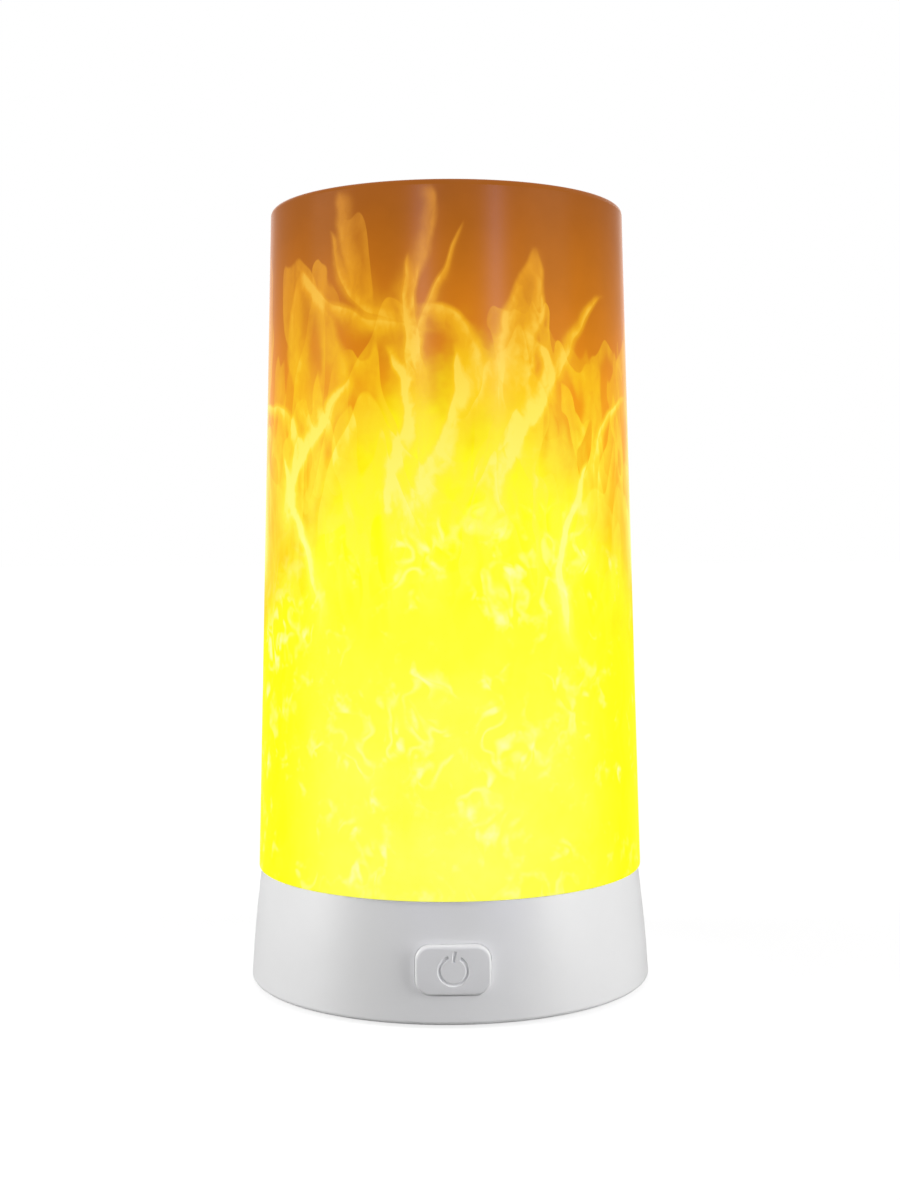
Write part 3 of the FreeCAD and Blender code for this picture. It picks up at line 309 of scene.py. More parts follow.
track_width, track_pitch = 0.00027, 0.0009
board_screw_x, board_screw_y = 0.015, 0.022
tinned_radius = 0.0025
laminate, tree, shader, point = started("solder_masked_laminate")
parts = node(tree, "SeparateXYZ", {0: point})
weave = node(tree, "TexNoise", {"Vector": point, "Scale": grain_scale(0.714), "Detail": 2.0})
mask = node(tree, "ValToRGB", {"Fac": weave}, [(0.3, linear("#0b5a30")), (0.7, linear("#0f6a38"))])
field = node(tree, "TexVoronoi", {"Vector": point, "Scale": grain_scale(7.69)}, distance="CHEBYCHEV")
turned = node(tree, "SeparateXYZ", {0: field.outputs["Color"]})
turned = node(tree, "Math", {0: turned, 1: 0.5}, operation="GREATER_THAN")
track = node(tree, "MixRGB", {"Fac": turned, "Color1": parts.outputs["X"], "Color2": parts.outputs["Y"]})
track = off_middle(tree, track, track_pitch)
track = node(tree, "Math", {0: track, 1: track_width / 2 / track_pitch}, operation="LESS_THAN")
inside = node(tree, "Math", {0: field, 1: 0.42}, operation="LESS_THAN")
track = node(tree, "Math", {0: track, 1: inside}, operation="MULTIPLY")
tracks = node(tree, "Math", {0: track, 1: 0.75}, operation="MULTIPLY")
via = node(tree, "TexVoronoi", {"Vector": point, "Scale": grain_scale(4.17)}, voronoi_dimensions="2D")
via = node(tree, "Math", {0: via, 1: 0.07}, operation="LESS_THAN")
across = node(tree, "Math", {0: parts.outputs["X"]}, operation="ABSOLUTE")
along = node(tree, "Math", {0: parts.outputs["Y"]}, operation="ABSOLUTE")
hole = node(tree, "CombineXYZ", {0: across, 1: along})
hole = node(tree, "VectorMath", {0: hole, 1: (board_screw_x, board_screw_y, 0)}, operation="DISTANCE")
tinned = node(tree, "MapRange", {
    "Value": hole.outputs["Value"], "From Min": tinned_radius - 0.00005, "From Max": tinned_radius,
    "To Min": 1.0, "To Max": 0.0,
})
tinned = node(tree, "Math", {0: tinned, 1: via}, operation="MAXIMUM")
upright = node(tree, "SeparateXYZ", {0: node(tree, "NewGeometry").outputs["Normal"]})
upright = node(tree, "Math", {0: upright.outputs["Z"]}, operation="ABSOLUTE")
sawn = node(tree, "MapRange", {
    "Value": upright, "From Min": 0.4, "From Max": 0.5, "To Min": 1.0, "To Max": 0.0,
})
colour = mask
for share, laid in ((tracks, "#1f8a4b"), (tinned, "#c9cbc8"), (sawn, "#b3a56a")):
    colour = node(tree, "MixRGB", {"Fac": share, "Color1": colour, "Color2": linear(laid)})
bare = node(tree, "Math", {0: 1.0, 1: sawn}, operation="SUBTRACT")
relief = node(tree, "Math", {0: tracks, 1: weave}, operation="ADD")
feed(tree, shader, {
    "Base Color": colour,
    "Metallic": node(tree, "Math", {0: bare, 1: tinned}, operation="MULTIPLY"),
    "Roughness": node(tree, "MapRange", {"Value": sawn, "To Min": 0.3, "To Max": 0.8}),
    "Normal": node(tree, "Bump", {"Height": relief, "Strength": 0.5, "Distance": 0.00003}),
})
dress(laminate, "control_board")

# Controller and charger chips: black moulded epoxy with bent, tinned leads along both long
# sides. A round dimple on top marks the first lead; it is drawn only as a darker disc, which
# stands for its smoother finish and for painted shade in its shallow hollow.
lead_start = 0.00197
dimple_radius = 0.00032
for name, middle, half_length in (
    ("controller_chip", (0.0, -0.01209, 0.0), 0.00495),
    ("charger_chip", (-0.0094, -0.0015, 0.0), 0.00245),
):
    epoxy, tree, shader, point = started(name + "_moulded_epoxy")
    placed = node(tree, "VectorMath", {0: point, 1: middle}, operation="SUBTRACT")
    parts = node(tree, "SeparateXYZ", {0: placed})
    side = node(tree, "Math", {0: parts.outputs["Y"]}, operation="ABSOLUTE")
    lead = node(tree, "Math", {0: side, 1: lead_start}, operation="GREATER_THAN")
    flat = node(tree, "CombineXYZ", {0: parts.outputs["X"], 1: parts.outputs["Y"]})
    corner = (0.0008 - half_length, -0.0012, 0)
    dimple = node(tree, "VectorMath", {0: flat, 1: corner}, operation="DISTANCE").outputs["Value"]
    dimple = node(tree, "Math", {0: dimple, 1: dimple_radius}, operation="LESS_THAN")
    grit = node(tree, "TexNoise", {"Vector": point, "Scale": grain_scale(1 / 6), "Detail": 2.0})
    body = node(tree, "ValToRGB", {"Fac": grit}, [(0.3, linear("#161617")), (0.7, linear("#202022"))])
    # painted shade: the dimple's disc is darker than the body, as its hollow is not modelled
    body = node(tree, "MixRGB", {"Fac": dimple, "Color1": body, "Color2": linear("#0c0c0d")})
    feed(tree, shader, {
        "Base Color": node(tree, "MixRGB", {"Fac": lead, "Color1": body, "Color2": linear("#c4c6c7")}),
        "Metallic": lead,
        "Roughness": node(tree, "MapRange", {"Value": lead, "To Min": 0.55, "To Max": 0.3}),
        "Normal": node(tree, "Bump", {"Height": grit, "Strength": 0.4, "Distance": 0.00002}),
    })
    dress(epoxy, name)

# Boost inductor: a ferrite block glued round a drum of enamelled wire, whose ring shows on top.
# Pressed ferrite is dark grey and dull, like fired clay.
inductor_middle = (0.0094, -0.0015, 0.0)
wire_ring_radius = 0.0028
wire_ring_half_width = 0.00018
ferrite, tree, shader, point = started("pressed_ferrite")
placed = node(tree, "VectorMath", {0: point, 1: inductor_middle}, operation="SUBTRACT")
placed = node(tree, "VectorMath", {0: placed, 1: (1, 1, 0)}, operation="MULTIPLY")
away = node(tree, "VectorMath", {0: placed}, operation="LENGTH").outputs["Value"]
away = node(tree, "Math", {0: away, 1: wire_ring_radius}, operation="SUBTRACT")
away = node(tree, "Math", {0: away}, operation="ABSOLUTE")
wire = node(tree, "Math", {0: away, 1: wire_ring_half_width}, operation="LESS_THAN")
grit = node(tree, "TexNoise", {"Vector": point, "Scale": grain_scale(0.2), "Detail": 3.0})
body = node(tree, "ValToRGB", {"Fac": grit}, [(0.3, linear("#3c3c3f")), (0.7, linear("#4c4c50"))])
feed(tree, shader, {
    "Base Color": node(tree, "MixRGB", {"Fac": wire, "Color1": body, "Color2": linear("#7c4a22")}),
    "Roughness": 0.6,
    "Normal": node(tree, "Bump", {"Height": grit, "Strength": 0.5, "Distance": 0.00003}),
})
dress(ferrite, "boost_inductor")

# Battery socket and plug and the LED board's socket: moulded in undyed nylon, which is cream
# coloured and slightly waxy. Both sockets stand upright on the board.
nylon = moulded("natural_moulded_nylon", "#e6dfcd", 0.38, 0.3, 0.2)
dress(nylon, "battery_socket", "battery_plug", "led_socket")

# Charging socket: a stamped, nickel-plated steel shell and a black insert. Its tongue carries
# twelve gilt contacts a side, a quarter of a millimetre wide at a pitch of half a millimetre.
dress(moulded("nickel_plated_steel", "#c8c4bc", 0.28, 0.4, 0.08, 1.0), "usb_shell")
contact_width, contact_pitch = 0.00025, 0.0005
contact_back, contact_front = 0.0345, 0.0379
insert, tree, shader, point = started("black_insert_with_gilt_contacts")
parts = node(tree, "SeparateXYZ", {0: point})
contact = off_middle(tree, parts.outputs["X"], contact_pitch)
contact = node(tree, "Math", {0: contact, 1: contact_width / 2 / contact_pitch}, operation="LESS_THAN")
side = node(tree, "Math", {0: parts.outputs["X"]}, operation="ABSOLUTE")
for value, limit, operation in (
    (side, 6 * contact_pitch, "LESS_THAN"),
    (parts.outputs["Y"], contact_back, "GREATER_THAN"),
    (parts.outputs["Y"], contact_front, "LESS_THAN"),
):
    within = node(tree, "Math", {0: value, 1: limit}, operation=operation)
    contact = node(tree, "Math", {0: contact, 1: within}, operation="MULTIPLY")
grit = node(tree, "TexNoise", {"Vector": point, "Scale": grain_scale(1 / 7), "Detail": 2.0})
body = node(tree, "ValToRGB", {"Fac": grit}, [(0.3, linear("#151515")), (0.7, linear("#1d1d1e"))])
relief = node(tree, "Math", {0: grit, 1: 0.2, 2: contact}, operation="MULTIPLY_ADD")
feed(tree, shader, {
    "Base Color": node(tree, "MixRGB", {"Fac": contact, "Color1": body, "Color2": linear("#dfb866")}),
    "Metallic": contact,
    "Roughness": node(tree, "MapRange", {"Value": contact, "To Min": 0.45, "To Max": 0.22}),
    "Normal": node(tree, "Bump", {"Height": relief, "Strength": 0.6, "Distance": 0.00003}),
})
dress(insert, "usb_insert")

# LED core and its cap: white ABS like the base, from a smoother mould. The core stands on the
# deck with three screws and the cap is pressed into its top.
dress(moulded("smooth_white_abs", "#ececea", 0.3, 0.5, 0.1), "led_core", "core_cap")

# LED board: white-inked polyimide film. Two tracks feed each column and one runs along each row,
# 0.3 mm wide; they show as faint grey lines under the ink. The feed tracks' place and half width
# are shares of a column.
led_columns = 12
led_row_start, led_row_pitch = 0.026, 0.012
film_track_width = 0.0003
feed_track_place, feed_track_half_width = 0.38, 0.018
film, tree, shader, point = started("white_inked_polyimide")
parts = node(tree, "SeparateXYZ", {0: point})
angle = node(tree, "Math", {0: parts.outputs["X"], 1: parts.outputs["Y"]}, operation="ARCTAN2")
column = off_middle(tree, angle, math.tau / led_columns)
column = node(tree, "Math", {0: column, 1: feed_track_place}, operation="SUBTRACT")
column = node(tree, "Math", {0: column}, operation="ABSOLUTE")
column = node(tree, "Math", {0: column, 1: feed_track_half_width}, operation="LESS_THAN")
row = off_middle(tree, parts.outputs["Z"], led_row_pitch, led_row_start)
row = node(tree, "Math", {0: row, 1: film_track_width / 2 / led_row_pitch}, operation="LESS_THAN")
track = node(tree, "Math", {0: column, 1: row}, operation="MAXIMUM")
ink = node(tree, "TexNoise", {"Vector": point, "Scale": grain_scale(2.0), "Detail": 3.0})
inked = node(tree, "ValToRGB", {"Fac": ink}, [(0.3, linear("#e6e6e2")), (0.7, linear("#efefec"))])
relief = node(tree, "Math", {0: ink, 1: 0.3, 2: track}, operation="MULTIPLY_ADD")
feed(tree, shader, {
    "Base Color": node(tree, "MixRGB", {"Fac": track, "Color1": inked, "Color2": linear("#cfccbf")}),
    "Roughness": 0.42,
    "Normal": node(tree, "Bump", {"Height": relief, "Strength": 0.5, "Distance": 0.00003}),
})
dress(film, "led_flex")

# LEDs: white moulded cups, 3.5 by 2.8 mm, filled with yellow phosphor in clear silicone. The
# fill is a disc 2.4 mm across in the middle of each cup.
led_radius = 0.0172
fill_radius = 0.0012
led, tree, shader, point = started("led_cup_with_phosphor")
parts = node(tree, "SeparateXYZ", {0: point})
angle = node(tree, "Math", {0: parts.outputs["X"], 1: parts.outputs["Y"]}, operation="ARCTAN2")
column = off_middle(tree, angle, math.tau / led_columns)
column = node(tree, "Math", {0: column, 1: led_radius * math.tau / led_columns}, operation="MULTIPLY")
row = off_middle(tree, parts.outputs["Z"], led_row_pitch, led_row_start)
row = node(tree, "Math", {0: row, 1: led_row_pitch}, operation="MULTIPLY")
spot = node(tree, "CombineXYZ", {0: column, 1: row})
spot = node(tree, "VectorMath", {0: spot}, operation="LENGTH").outputs["Value"]
fill = node(tree, "MapRange", {
    "Value": spot, "From Min": fill_radius - 0.00003, "From Max": fill_radius + 0.00003,
    "To Min": 1.0, "To Max": 0.0,
})
grain = node(tree, "TexNoise", {"Vector": point, "Scale": grain_scale(0.2), "Detail": 2.0})
phosphor = node(tree, "ValToRGB", {"Fac": grain}, [(0.3, linear("#e8c23c")), (0.7, linear("#f5d85a"))])
relief = node(tree, "Math", {0: fill, 1: -1.0, 2: grain}, operation="MULTIPLY_ADD")
feed(tree, shader, {
    "Base Color": node(tree, "MixRGB", {"Fac": fill, "Color1": linear("#efeee9"), "Color2": phosphor}),
    "Roughness": node(tree, "MapRange", {"Value": fill, "To Min": 0.45, "To Max": 0.18}),
    "Normal": node(tree, "Bump", {"Height": relief, "Strength": 0.5, "Distance": 0.00004}),
})
dress(led, *["led_row_" + str(number) for number in range(1, 10)])

# Cell: a steel can in blue shrunk film, which leaves the middle of both ends bare. The film is
# smooth and shiny, with faint creases from shrinking that run along the can.
bare_radius = 0.0073
wrap, tree, shader, point = started("shrunk_film_on_steel_can")
flat = node(tree, "VectorMath", {0: point, 1: (1, 1, 0)}, operation="MULTIPLY")
away = node(tree, "VectorMath", {0: flat}, operation="LENGTH").outputs["Value"]
bare = node(tree, "MapRange", {
    "Value": away, "From Min": bare_radius - 0.0001, "From Max": bare_radius,
    "To Min": 1.0, "To Max": 0.0,
})
stretch = node(tree, "VectorMath", {0: point, 1: (1, 1, 0.15)}, operation="MULTIPLY")
crease = node(tree, "TexNoise", {"Vector": stretch, "Scale": grain_scale(3.85), "Detail": 3.0})
blue = node(tree, "ValToRGB", {"Fac": crease}, [(0.3, linear("#2565a0")), (0.7, linear("#2d73b2"))])
feed(tree, shader, {
    "Base Color": node(tree, "MixRGB", {"Fac": bare, "Color1": blue, "Color2": linear("#bdbcb8")}),
    "Metallic": bare,
    "Roughness": 0.28,
    "Normal": node(tree, "Bump", {"Height": crease, "Strength": 0.4, "Distance": 0.00008}),
})
dress(wrap, "battery_cell")

# Cell strips: rolled nickel, bent over the ends of the can and held there by four spot welds.
# Rolling leaves fine lines along the strip; the welds are dull, dark pits.
weld_place = (0.0016, 0.0018, 0)
weld_radius = 0.0005
strip, tree, shader, point = started("rolled_nickel_strip")
rolled = node(tree, "VectorMath", {0: point, 1: (1, 0.08, 1)}, operation="MULTIPLY")
rolled = node(tree, "TexNoise", {"Vector": rolled, "Scale": grain_scale(1 / 3), "Detail": 2.0})
parts = node(tree, "SeparateXYZ", {0: point})
across = node(tree, "Math", {0: parts.outputs["X"]}, operation="ABSOLUTE")
along = node(tree, "Math", {0: parts.outputs["Y"]}, operation="ABSOLUTE")
weld = node(tree, "CombineXYZ", {0: across, 1: along})
weld = node(tree, "VectorMath", {0: weld, 1: weld_place}, operation="DISTANCE").outputs["Value"]
weld = node(tree, "MapRange", {
    "Value": weld, "From Min": weld_radius - 0.0001, "From Max": weld_radius + 0.0001,
    "To Min": 1.0, "To Max": 0.0,
})
metal = node(tree, "ValToRGB", {"Fac": rolled}, [(0.3, linear("#bab4a8")), (0.7, linear("#c6c1b6"))])
relief = node(tree, "Math", {0: weld, 1: -4.0, 2: rolled}, operation="MULTIPLY_ADD")
feed(tree, shader, {
    "Base Color": node(tree, "MixRGB", {"Fac": weld, "Color1": metal, "Color2": linear("#8d8578")}),
    "Metallic": 1.0,
    "Roughness": 0.32,
    "Normal": node(tree, "Bump", {"Height": relief, "Strength": 0.4, "Distance": 0.00003}),
})
dress(strip, "cell_tab_top", "cell_tab_bottom")

# Cell pad: a disc punched from closed-cell foam, which takes up the play under the can. Its cut
# bubbles, 0.4 mm across, make it matt.
foam, tree, shader, point = started("closed_cell_foam")
bubbles = node(tree, "TexVoronoi", {"Vector": point, "Scale": grain_scale(0.4)})
stops = [(0.0, linear("#1c1c1d")), (0.6, linear("#303032"))]
feed(tree, shader, {
    "Base Color": node(tree, "ValToRGB", {"Fac": bubbles}, stops),
    "Roughness": 0.9,
    "Normal": node(tree, "Bump", {"Height": bubbles, "Strength": 0.8, "Distance": 0.0001}),
})
dress(foam, "cell_pad")

# Battery leads: stranded wire in soft red and black insulation, soldered to the two strips and
# crimped in the plug.
dress(moulded("red_wire_insulation", "#b3221c", 0.35, 0.6, 0.15), "battery_lead_red")
dress(moulded("black_wire_insulation", "#1b1b1c", 0.35, 0.6, 0.15), "battery_lead_black")

# Shade seal: a moulded ring of clear silicone in the collar's upper groove. It grips the shade
# from inside and keeps it from rattling.
dress(moulded("clear_moulded_silicone", "#dcdcd6", 0.3, 0.4, 0.15), "shade_seal")

# Feet: pale grey rubber pads, moulded and glued into recesses of the cover. They are matt and
# slightly grainy for grip.
rubber = moulded("pale_moulded_rubber", "#cccccb", 0.85, 0.45, 0.7)
dress(rubber, *["foot_" + str(number) for number in range(1, 5)])


# Screws: zinc-plated steel, pan head with a cross recess, and a thread that forms its own way
# into the plastic. Cover and board screws drive upwards, core screws drive down.
def cross_screw(head_radius, head_height, shank_radius, shank_length, pitch):
    """One screw at the origin: seat at z = 0, head below it and shank above."""
    screw = solid(
        bpy.ops.mesh.primitive_cylinder_add, vertices=48, radius=head_radius, depth=head_height,
        location=(0, 0, -head_height / 2),
    )
    bpy.ops.object.mode_set(mode="EDIT")
    pick(screw, "EDGE", lambda edge: all(v.co.z < -head_height + 1e-5 for v in edge.verts))
    bpy.ops.mesh.bevel(offset=head_height * 0.42, segments=6, affect="EDGES")
    bpy.ops.object.mode_set(mode="OBJECT")
    # cross recess, narrower towards its bottom
    for turn in (0, math.pi / 2):
        blade = solid(
            bpy.ops.mesh.primitive_cube_add, size=1, location=(0, 0, -head_height), rotation=(0, 0, turn),
            scale=(head_radius * 1.1, head_radius * 0.24, head_height * 1.1),
        )
        bpy.ops.object.mode_set(mode="EDIT")
        pick(blade, "FACE", lambda face: face.normal.z > 0.9)
        bpy.ops.transform.resize(value=(0.45, 0.7, 1), center_override=(0, 0, 0))
        bpy.ops.object.mode_set(mode="OBJECT")
        combine(screw, blade, "DIFFERENCE")
    # shank with a short point
    core_radius = shank_radius * 0.72
    core = solid(
        bpy.ops.mesh.primitive_cylinder_add, vertices=24, radius=core_radius, depth=shank_length,
        location=(0, 0, shank_length / 2),
    )
    bpy.ops.object.mode_set(mode="EDIT")
    pick(core, "EDGE", lambda edge: all(v.co.z > shank_length - 1e-5 for v in edge.verts))
    bpy.ops.mesh.bevel(offset=core_radius * 0.5, segments=2, affect="EDGES")
    bpy.ops.object.mode_set(mode="OBJECT")
    # thread: a triangle swept up the shank
    thread = solid(bpy.ops.mesh.primitive_circle_add, vertices=3, radius=1, fill_type="NOTHING")
    root = core_radius * 0.92
    section = ((root, pitch * 0.3), (shank_radius, pitch * 0.52), (root, pitch * 0.74))
    for vertex, (out, up) in zip(thread.data.vertices, section):
        vertex.co = (out, 0, up)
    winding = thread.modifiers.new("winding", "SCREW")
    winding.screw_offset = pitch
    winding.iterations = int(shank_length / pitch) - 1
    winding.steps = 24
    winding.render_steps = 24
    bpy.ops.object.modifier_apply(modifier=winding.name)
    bpy.ops.object.mode_set(mode="EDIT")
    bpy.ops.mesh.select_mode(type="EDGE")
    bpy.ops.mesh.select_all(action="DESELECT")
    bpy.ops.mesh.select_non_manifold()
    bpy.ops.mesh.fill()
    bpy.ops.mesh.select_all(action="SELECT")
    bpy.ops.mesh.normals_make_consistent(inside=False)
    bpy.ops.object.mode_set(mode="OBJECT")
    for part in (screw, core, thread):
        part.select_set(True)
    bpy.context.view_layer.objects.active = screw
    bpy.ops.object.join()
    bpy.ops.object.shade_smooth_by_angle(angle=math.radians(35))
    return screw


zinc = moulded("zinc_plated_steel", "#b4b7ba", 0.32, 0.3, 0.12, 1.0)
corners = ((1, 1), (-1, 1), (-1, -1), (1, -1))
cover_places = [(0.02291 * x, 0.02291 * y) for x, y in corners]
board_places = [(board_screw_x * x, board_screw_y * y) for x in (-1, 1) for y in (-1, 1)]
core_places = [(0.01749, 0.0101), (-0.01749, 0.0101), (0.0, -0.0202)]
for kind, places, seat, flip, sizes in (
    ("cover_screw", cover_places, 0.0024, 0, (0.0025, 0.0012, 0.0013, 0.0070, 0.0010)),
    ("board_screw", board_places, 0.0061, 0, (0.0019, 0.0011, 0.0009, 0.0050, 0.0008)),
    ("core_screw", core_places, 0.0255, math.pi, (0.0023, 0.0014, 0.0012, 0.0065, 0.0010)),
):
    pattern = cross_screw(*sizes)
    for index, place in enumerate(places, start=1):
        screw = bpy.data.objects.new(kind + "_" + str(index) + "_threaded", pattern.data.copy())
        bpy.context.collection.objects.link(screw)
        turn = Matrix.Rotation(flip, 4, "X") @ Matrix.Rotation(index * 0.7, 4, "Z")
        screw.data.transform(Matrix.Translation((*place, seat)) @ turn)
        screw.data.materials.clear()
        screw.data.materials.append(zinc)
        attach(screw, "lamp")
        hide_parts(kind + "_" + str(index))
    bpy.data.objects.remove(pattern)

# Flame veils: a group that gives how bright the layered veils of flame are at a point. A
# stretched, warped noise is cut at evenly spaced levels; each cut is sharp outside and soft inside.
smooth = {"interpolation_type": "SMOOTHSTEP"}
softest = {"interpolation_type": "SMOOTHERSTEP"}
veils = bpy.data.node_groups.new("flame_veils", "ShaderNodeTree")
veils.interface.new_socket("Point", in_out="INPUT", socket_type="NodeSocketVector")
for name in ("Seed", "Width", "Level", "Sway"):
    veils.interface.new_socket(name, in_out="INPUT", socket_type="NodeSocketFloat")
veils.interface.new_socket("Light", in_out="OUTPUT", socket_type="NodeSocketFloat")
given = veils.nodes.new("NodeGroupInput").outputs
scaled = node(veils, "VectorMath", {0: given["Point"], 1: (1, 1, 0.38)}, operation="MULTIPLY")
share = node(veils, "Math", {0: 1.0, 1: given["Width"]}, operation="DIVIDE")
scaled = node(veils, "VectorMath", {0: scaled, "Scale": share}, operation="SCALE")
slow = node(veils, "TexNoise", {
    "Vector": scaled, "W": given["Seed"], "Scale": 0.8, "Detail": 2.0, "Roughness": 0.5,
}, noise_dimensions="4D")
bend = node(veils, "VectorMath", {0: slow.outputs["Color"], 1: (0.5, 0.5, 0.5)}, operation="SUBTRACT")
bend = node(veils, "VectorMath", {0: bend, "Scale": given["Sway"]}, operation="SCALE")
moved = node(veils, "VectorMath", {0: scaled, 1: bend}, operation="ADD")
field = node(veils, "TexNoise", {
    "Vector": moved, "W": given["Seed"], "Scale": 1.0, "Detail": 1.6, "Roughness": 0.4,
}, noise_dimensions="4D")
depth = node(veils, "Math", {0: field, 1: given["Level"]}, operation="SUBTRACT")
inside = node(veils, "MapRange", {"Value": depth, "From Min": 0.0, "From Max": 0.012}, **smooth)
layer = node(veils, "Math", {0: depth, 1: 6.0}, operation="MULTIPLY")
layer = node(veils, "Math", {0: layer}, operation="FRACT")
rise = node(veils, "MapRange", {"Value": layer, "From Min": 0.0, "From Max": 0.07}, **smooth)
fall = node(veils, "MapRange", {
    "Value": layer, "From Min": 0.1, "From Max": 0.85, "To Min": 1.0, "To Max": 0.0,
}, **softest)
power = node(veils, "MapRange", {"Value": slow, "From Min": 0.36, "From Max": 0.64}, **smooth)
light = rise
for part in (fall, inside, power):
    light = node(veils, "Math", {0: light, 1: part}, operation="MULTIPLY")
feed(veils, veils.nodes.new("NodeGroupOutput"), {"Light": light})

# One tongue's edge: a group that gives a bright line along a curved path up the shade, with a
# soft veil on one side of it. The path's angle is a cubic of the way from its foot to its tip.
# Widths and the shade's radius are in millimetres here; the ratio is radius to height.
shade_radius = 37.0
radius_to_height = 0.28
stroke = bpy.data.node_groups.new("flame_stroke", "ShaderNodeTree")
for name in ("Angle", "Height", "A0", "A1", "A2", "A3", "Low", "High", "Ridge", "Veil", "Side", "Light"):
    stroke.interface.new_socket(name, in_out="INPUT", socket_type="NodeSocketFloat")
stroke.interface.new_socket("Light", in_out="OUTPUT", socket_type="NodeSocketFloat")
given = stroke.nodes.new("NodeGroupInput").outputs
way = node(stroke, "MapRange", {
    "Value": given["Height"], "From Min": given["Low"], "From Max": given["High"],
}, clamp=False).outputs[0]
centre = given["A3"]
for term in ("A2", "A1", "A0"):
    centre = node(stroke, "Math", {0: centre, 1: way, 2: given[term]}, operation="MULTIPLY_ADD")
three = node(stroke, "Math", {0: given["A3"], 1: 3.0}, operation="MULTIPLY")
two = node(stroke, "Math", {0: given["A2"], 1: 2.0}, operation="MULTIPLY")
slope = node(stroke, "Math", {0: three, 1: way, 2: two}, operation="MULTIPLY_ADD")
slope = node(stroke, "Math", {0: slope, 1: way, 2: given["A1"]}, operation="MULTIPLY_ADD")
rise = node(stroke, "Math", {0: given["High"], 1: given["Low"]}, operation="SUBTRACT")
slope = node(stroke, "Math", {0: slope, 1: rise}, operation="DIVIDE")
slope = node(stroke, "Math", {0: slope, 1: radius_to_height}, operation="MULTIPLY")
slope = node(stroke, "Math", {0: slope, 1: slope, 2: 1.0}, operation="MULTIPLY_ADD")
slope = node(stroke, "Math", {0: slope}, operation="SQRT")
across = node(stroke, "Math", {0: given["Angle"], 1: centre}, operation="SUBTRACT")
across = node(stroke, "Math", {0: across, 1: shade_radius}, operation="MULTIPLY")
across = node(stroke, "Math", {0: across, 1: slope}, operation="DIVIDE")
left = node(stroke, "Math", {0: 1.08, 1: way}, operation="SUBTRACT", use_clamp=True)
taper = node(stroke, "Math", {0: left, 1: 0.6}, operation="POWER")
wide = node(stroke, "Math", {0: taper, 1: given["Veil"]}, operation="MULTIPLY")
beside = node(stroke, "Math", {0: across, 1: given["Side"]}, operation="MULTIPLY")
beside = node(stroke, "Math", {0: beside, 1: wide}, operation="DIVIDE")
thick = node(stroke, "Math", {0: taper, 1: given["Ridge"]}, operation="MULTIPLY")
grow = node(stroke, "MapRange", {
    "Value": beside, "From Min": 0.0, "From Max": 0.12, "To Min": 1.0, "To Max": 3.0,
}, **smooth)
thick = node(stroke, "Math", {0: thick, 1: grow}, operation="MULTIPLY")
ridge = node(stroke, "Math", {0: across, 1: thick}, operation="DIVIDE")
ridge = node(stroke, "Math", {0: ridge, 1: ridge}, operation="MULTIPLY")
ridge = node(stroke, "Math", {0: ridge, 1: -1.0}, operation="MULTIPLY")
ridge = node(stroke, "Math", {0: ridge}, operation="EXPONENT")
start = node(stroke, "MapRange", {"Value": beside, "From Min": -0.05, "From Max": 0.1}, **smooth)
stop = node(stroke, "MapRange", {
    "Value": beside, "From Min": 0.0, "From Max": 1.0, "To Min": 1.0, "To Max": 0.0,
}, **softest)
veil = node(stroke, "Math", {0: start, 1: stop}, operation="MULTIPLY")
light = node(stroke, "Math", {0: ridge, 1: 0.6, 2: veil}, operation="MULTIPLY_ADD")
foot = node(stroke, "MapRange", {"Value": way, "From Min": 0.0, "From Max": 0.4}, **smooth)
tip = node(stroke, "MapRange", {
    "Value": way, "From Min": 0.86, "From Max": 1.0, "To Min": 1.0, "To Max": 0.0,
}, **smooth)
for part in (foot, tip, given["Light"]):
    light = node(stroke, "Math", {0: light, 1: part}, operation="MULTIPLY")
feed(stroke, stroke.nodes.new("NodeGroupOutput"), {"Light": light})

# Shade: frosted polycarbonate moulding, lit from inside by the moving flame picture. The
# picture is brown at the top, orange below and full yellow in the lower half.
seam = 0.0231
shade_height = 0.1332
picture, tree, shader, point = started("frosted_shade_with_flames")
parts = node(tree, "SeparateXYZ", {0: point})
height = node(tree, "MapRange", {
    "Value": parts.outputs["Z"], "From Min": seam, "From Max": seam + shade_height,
})
depth = node(tree, "Math", {0: parts.outputs["Y"]}, operation="ABSOLUTE")
angle = node(tree, "Math", {0: parts.outputs["X"], 1: depth}, operation="ARCTAN2")
double = node(tree, "Math", {0: angle, 1: 2.0}, operation="MULTIPLY")
swing = node(tree, "Math", {0: double}, operation="COSINE")
ground = node(tree, "ValToRGB", {"Fac": height}, [
    (0.46, linear("#ffd410")),
    (0.554, linear("#fdc010")),
    (0.626, linear("#f9aa10")),
    (0.70, linear("#ee9812")),
    (0.77, linear("#da8214")),
    (0.84, linear("#c67314")),
    (0.94, linear("#ac6118")),
    (1.0, linear("#a05a20")),
])

# The full yellow reaches higher in front and behind than at the sides, with a ragged front.
drift = node(tree, "TexNoise", {
    "Vector": point, "Scale": grain_scale(18.18), "Detail": 4.0, "Roughness": 0.6,
})
reach = node(tree, "Math", {0: swing, 1: 0.17, 2: 0.40}, operation="MULTIPLY_ADD")
reach = node(tree, "Math", {0: drift, 1: 0.26, 2: reach}, operation="MULTIPLY_ADD")
under = node(tree, "Math", {0: reach, 1: height}, operation="SUBTRACT")
yellow = node(tree, "MapRange", {"Value": under, "From Min": -0.1, "From Max": 0.1}, **smooth)

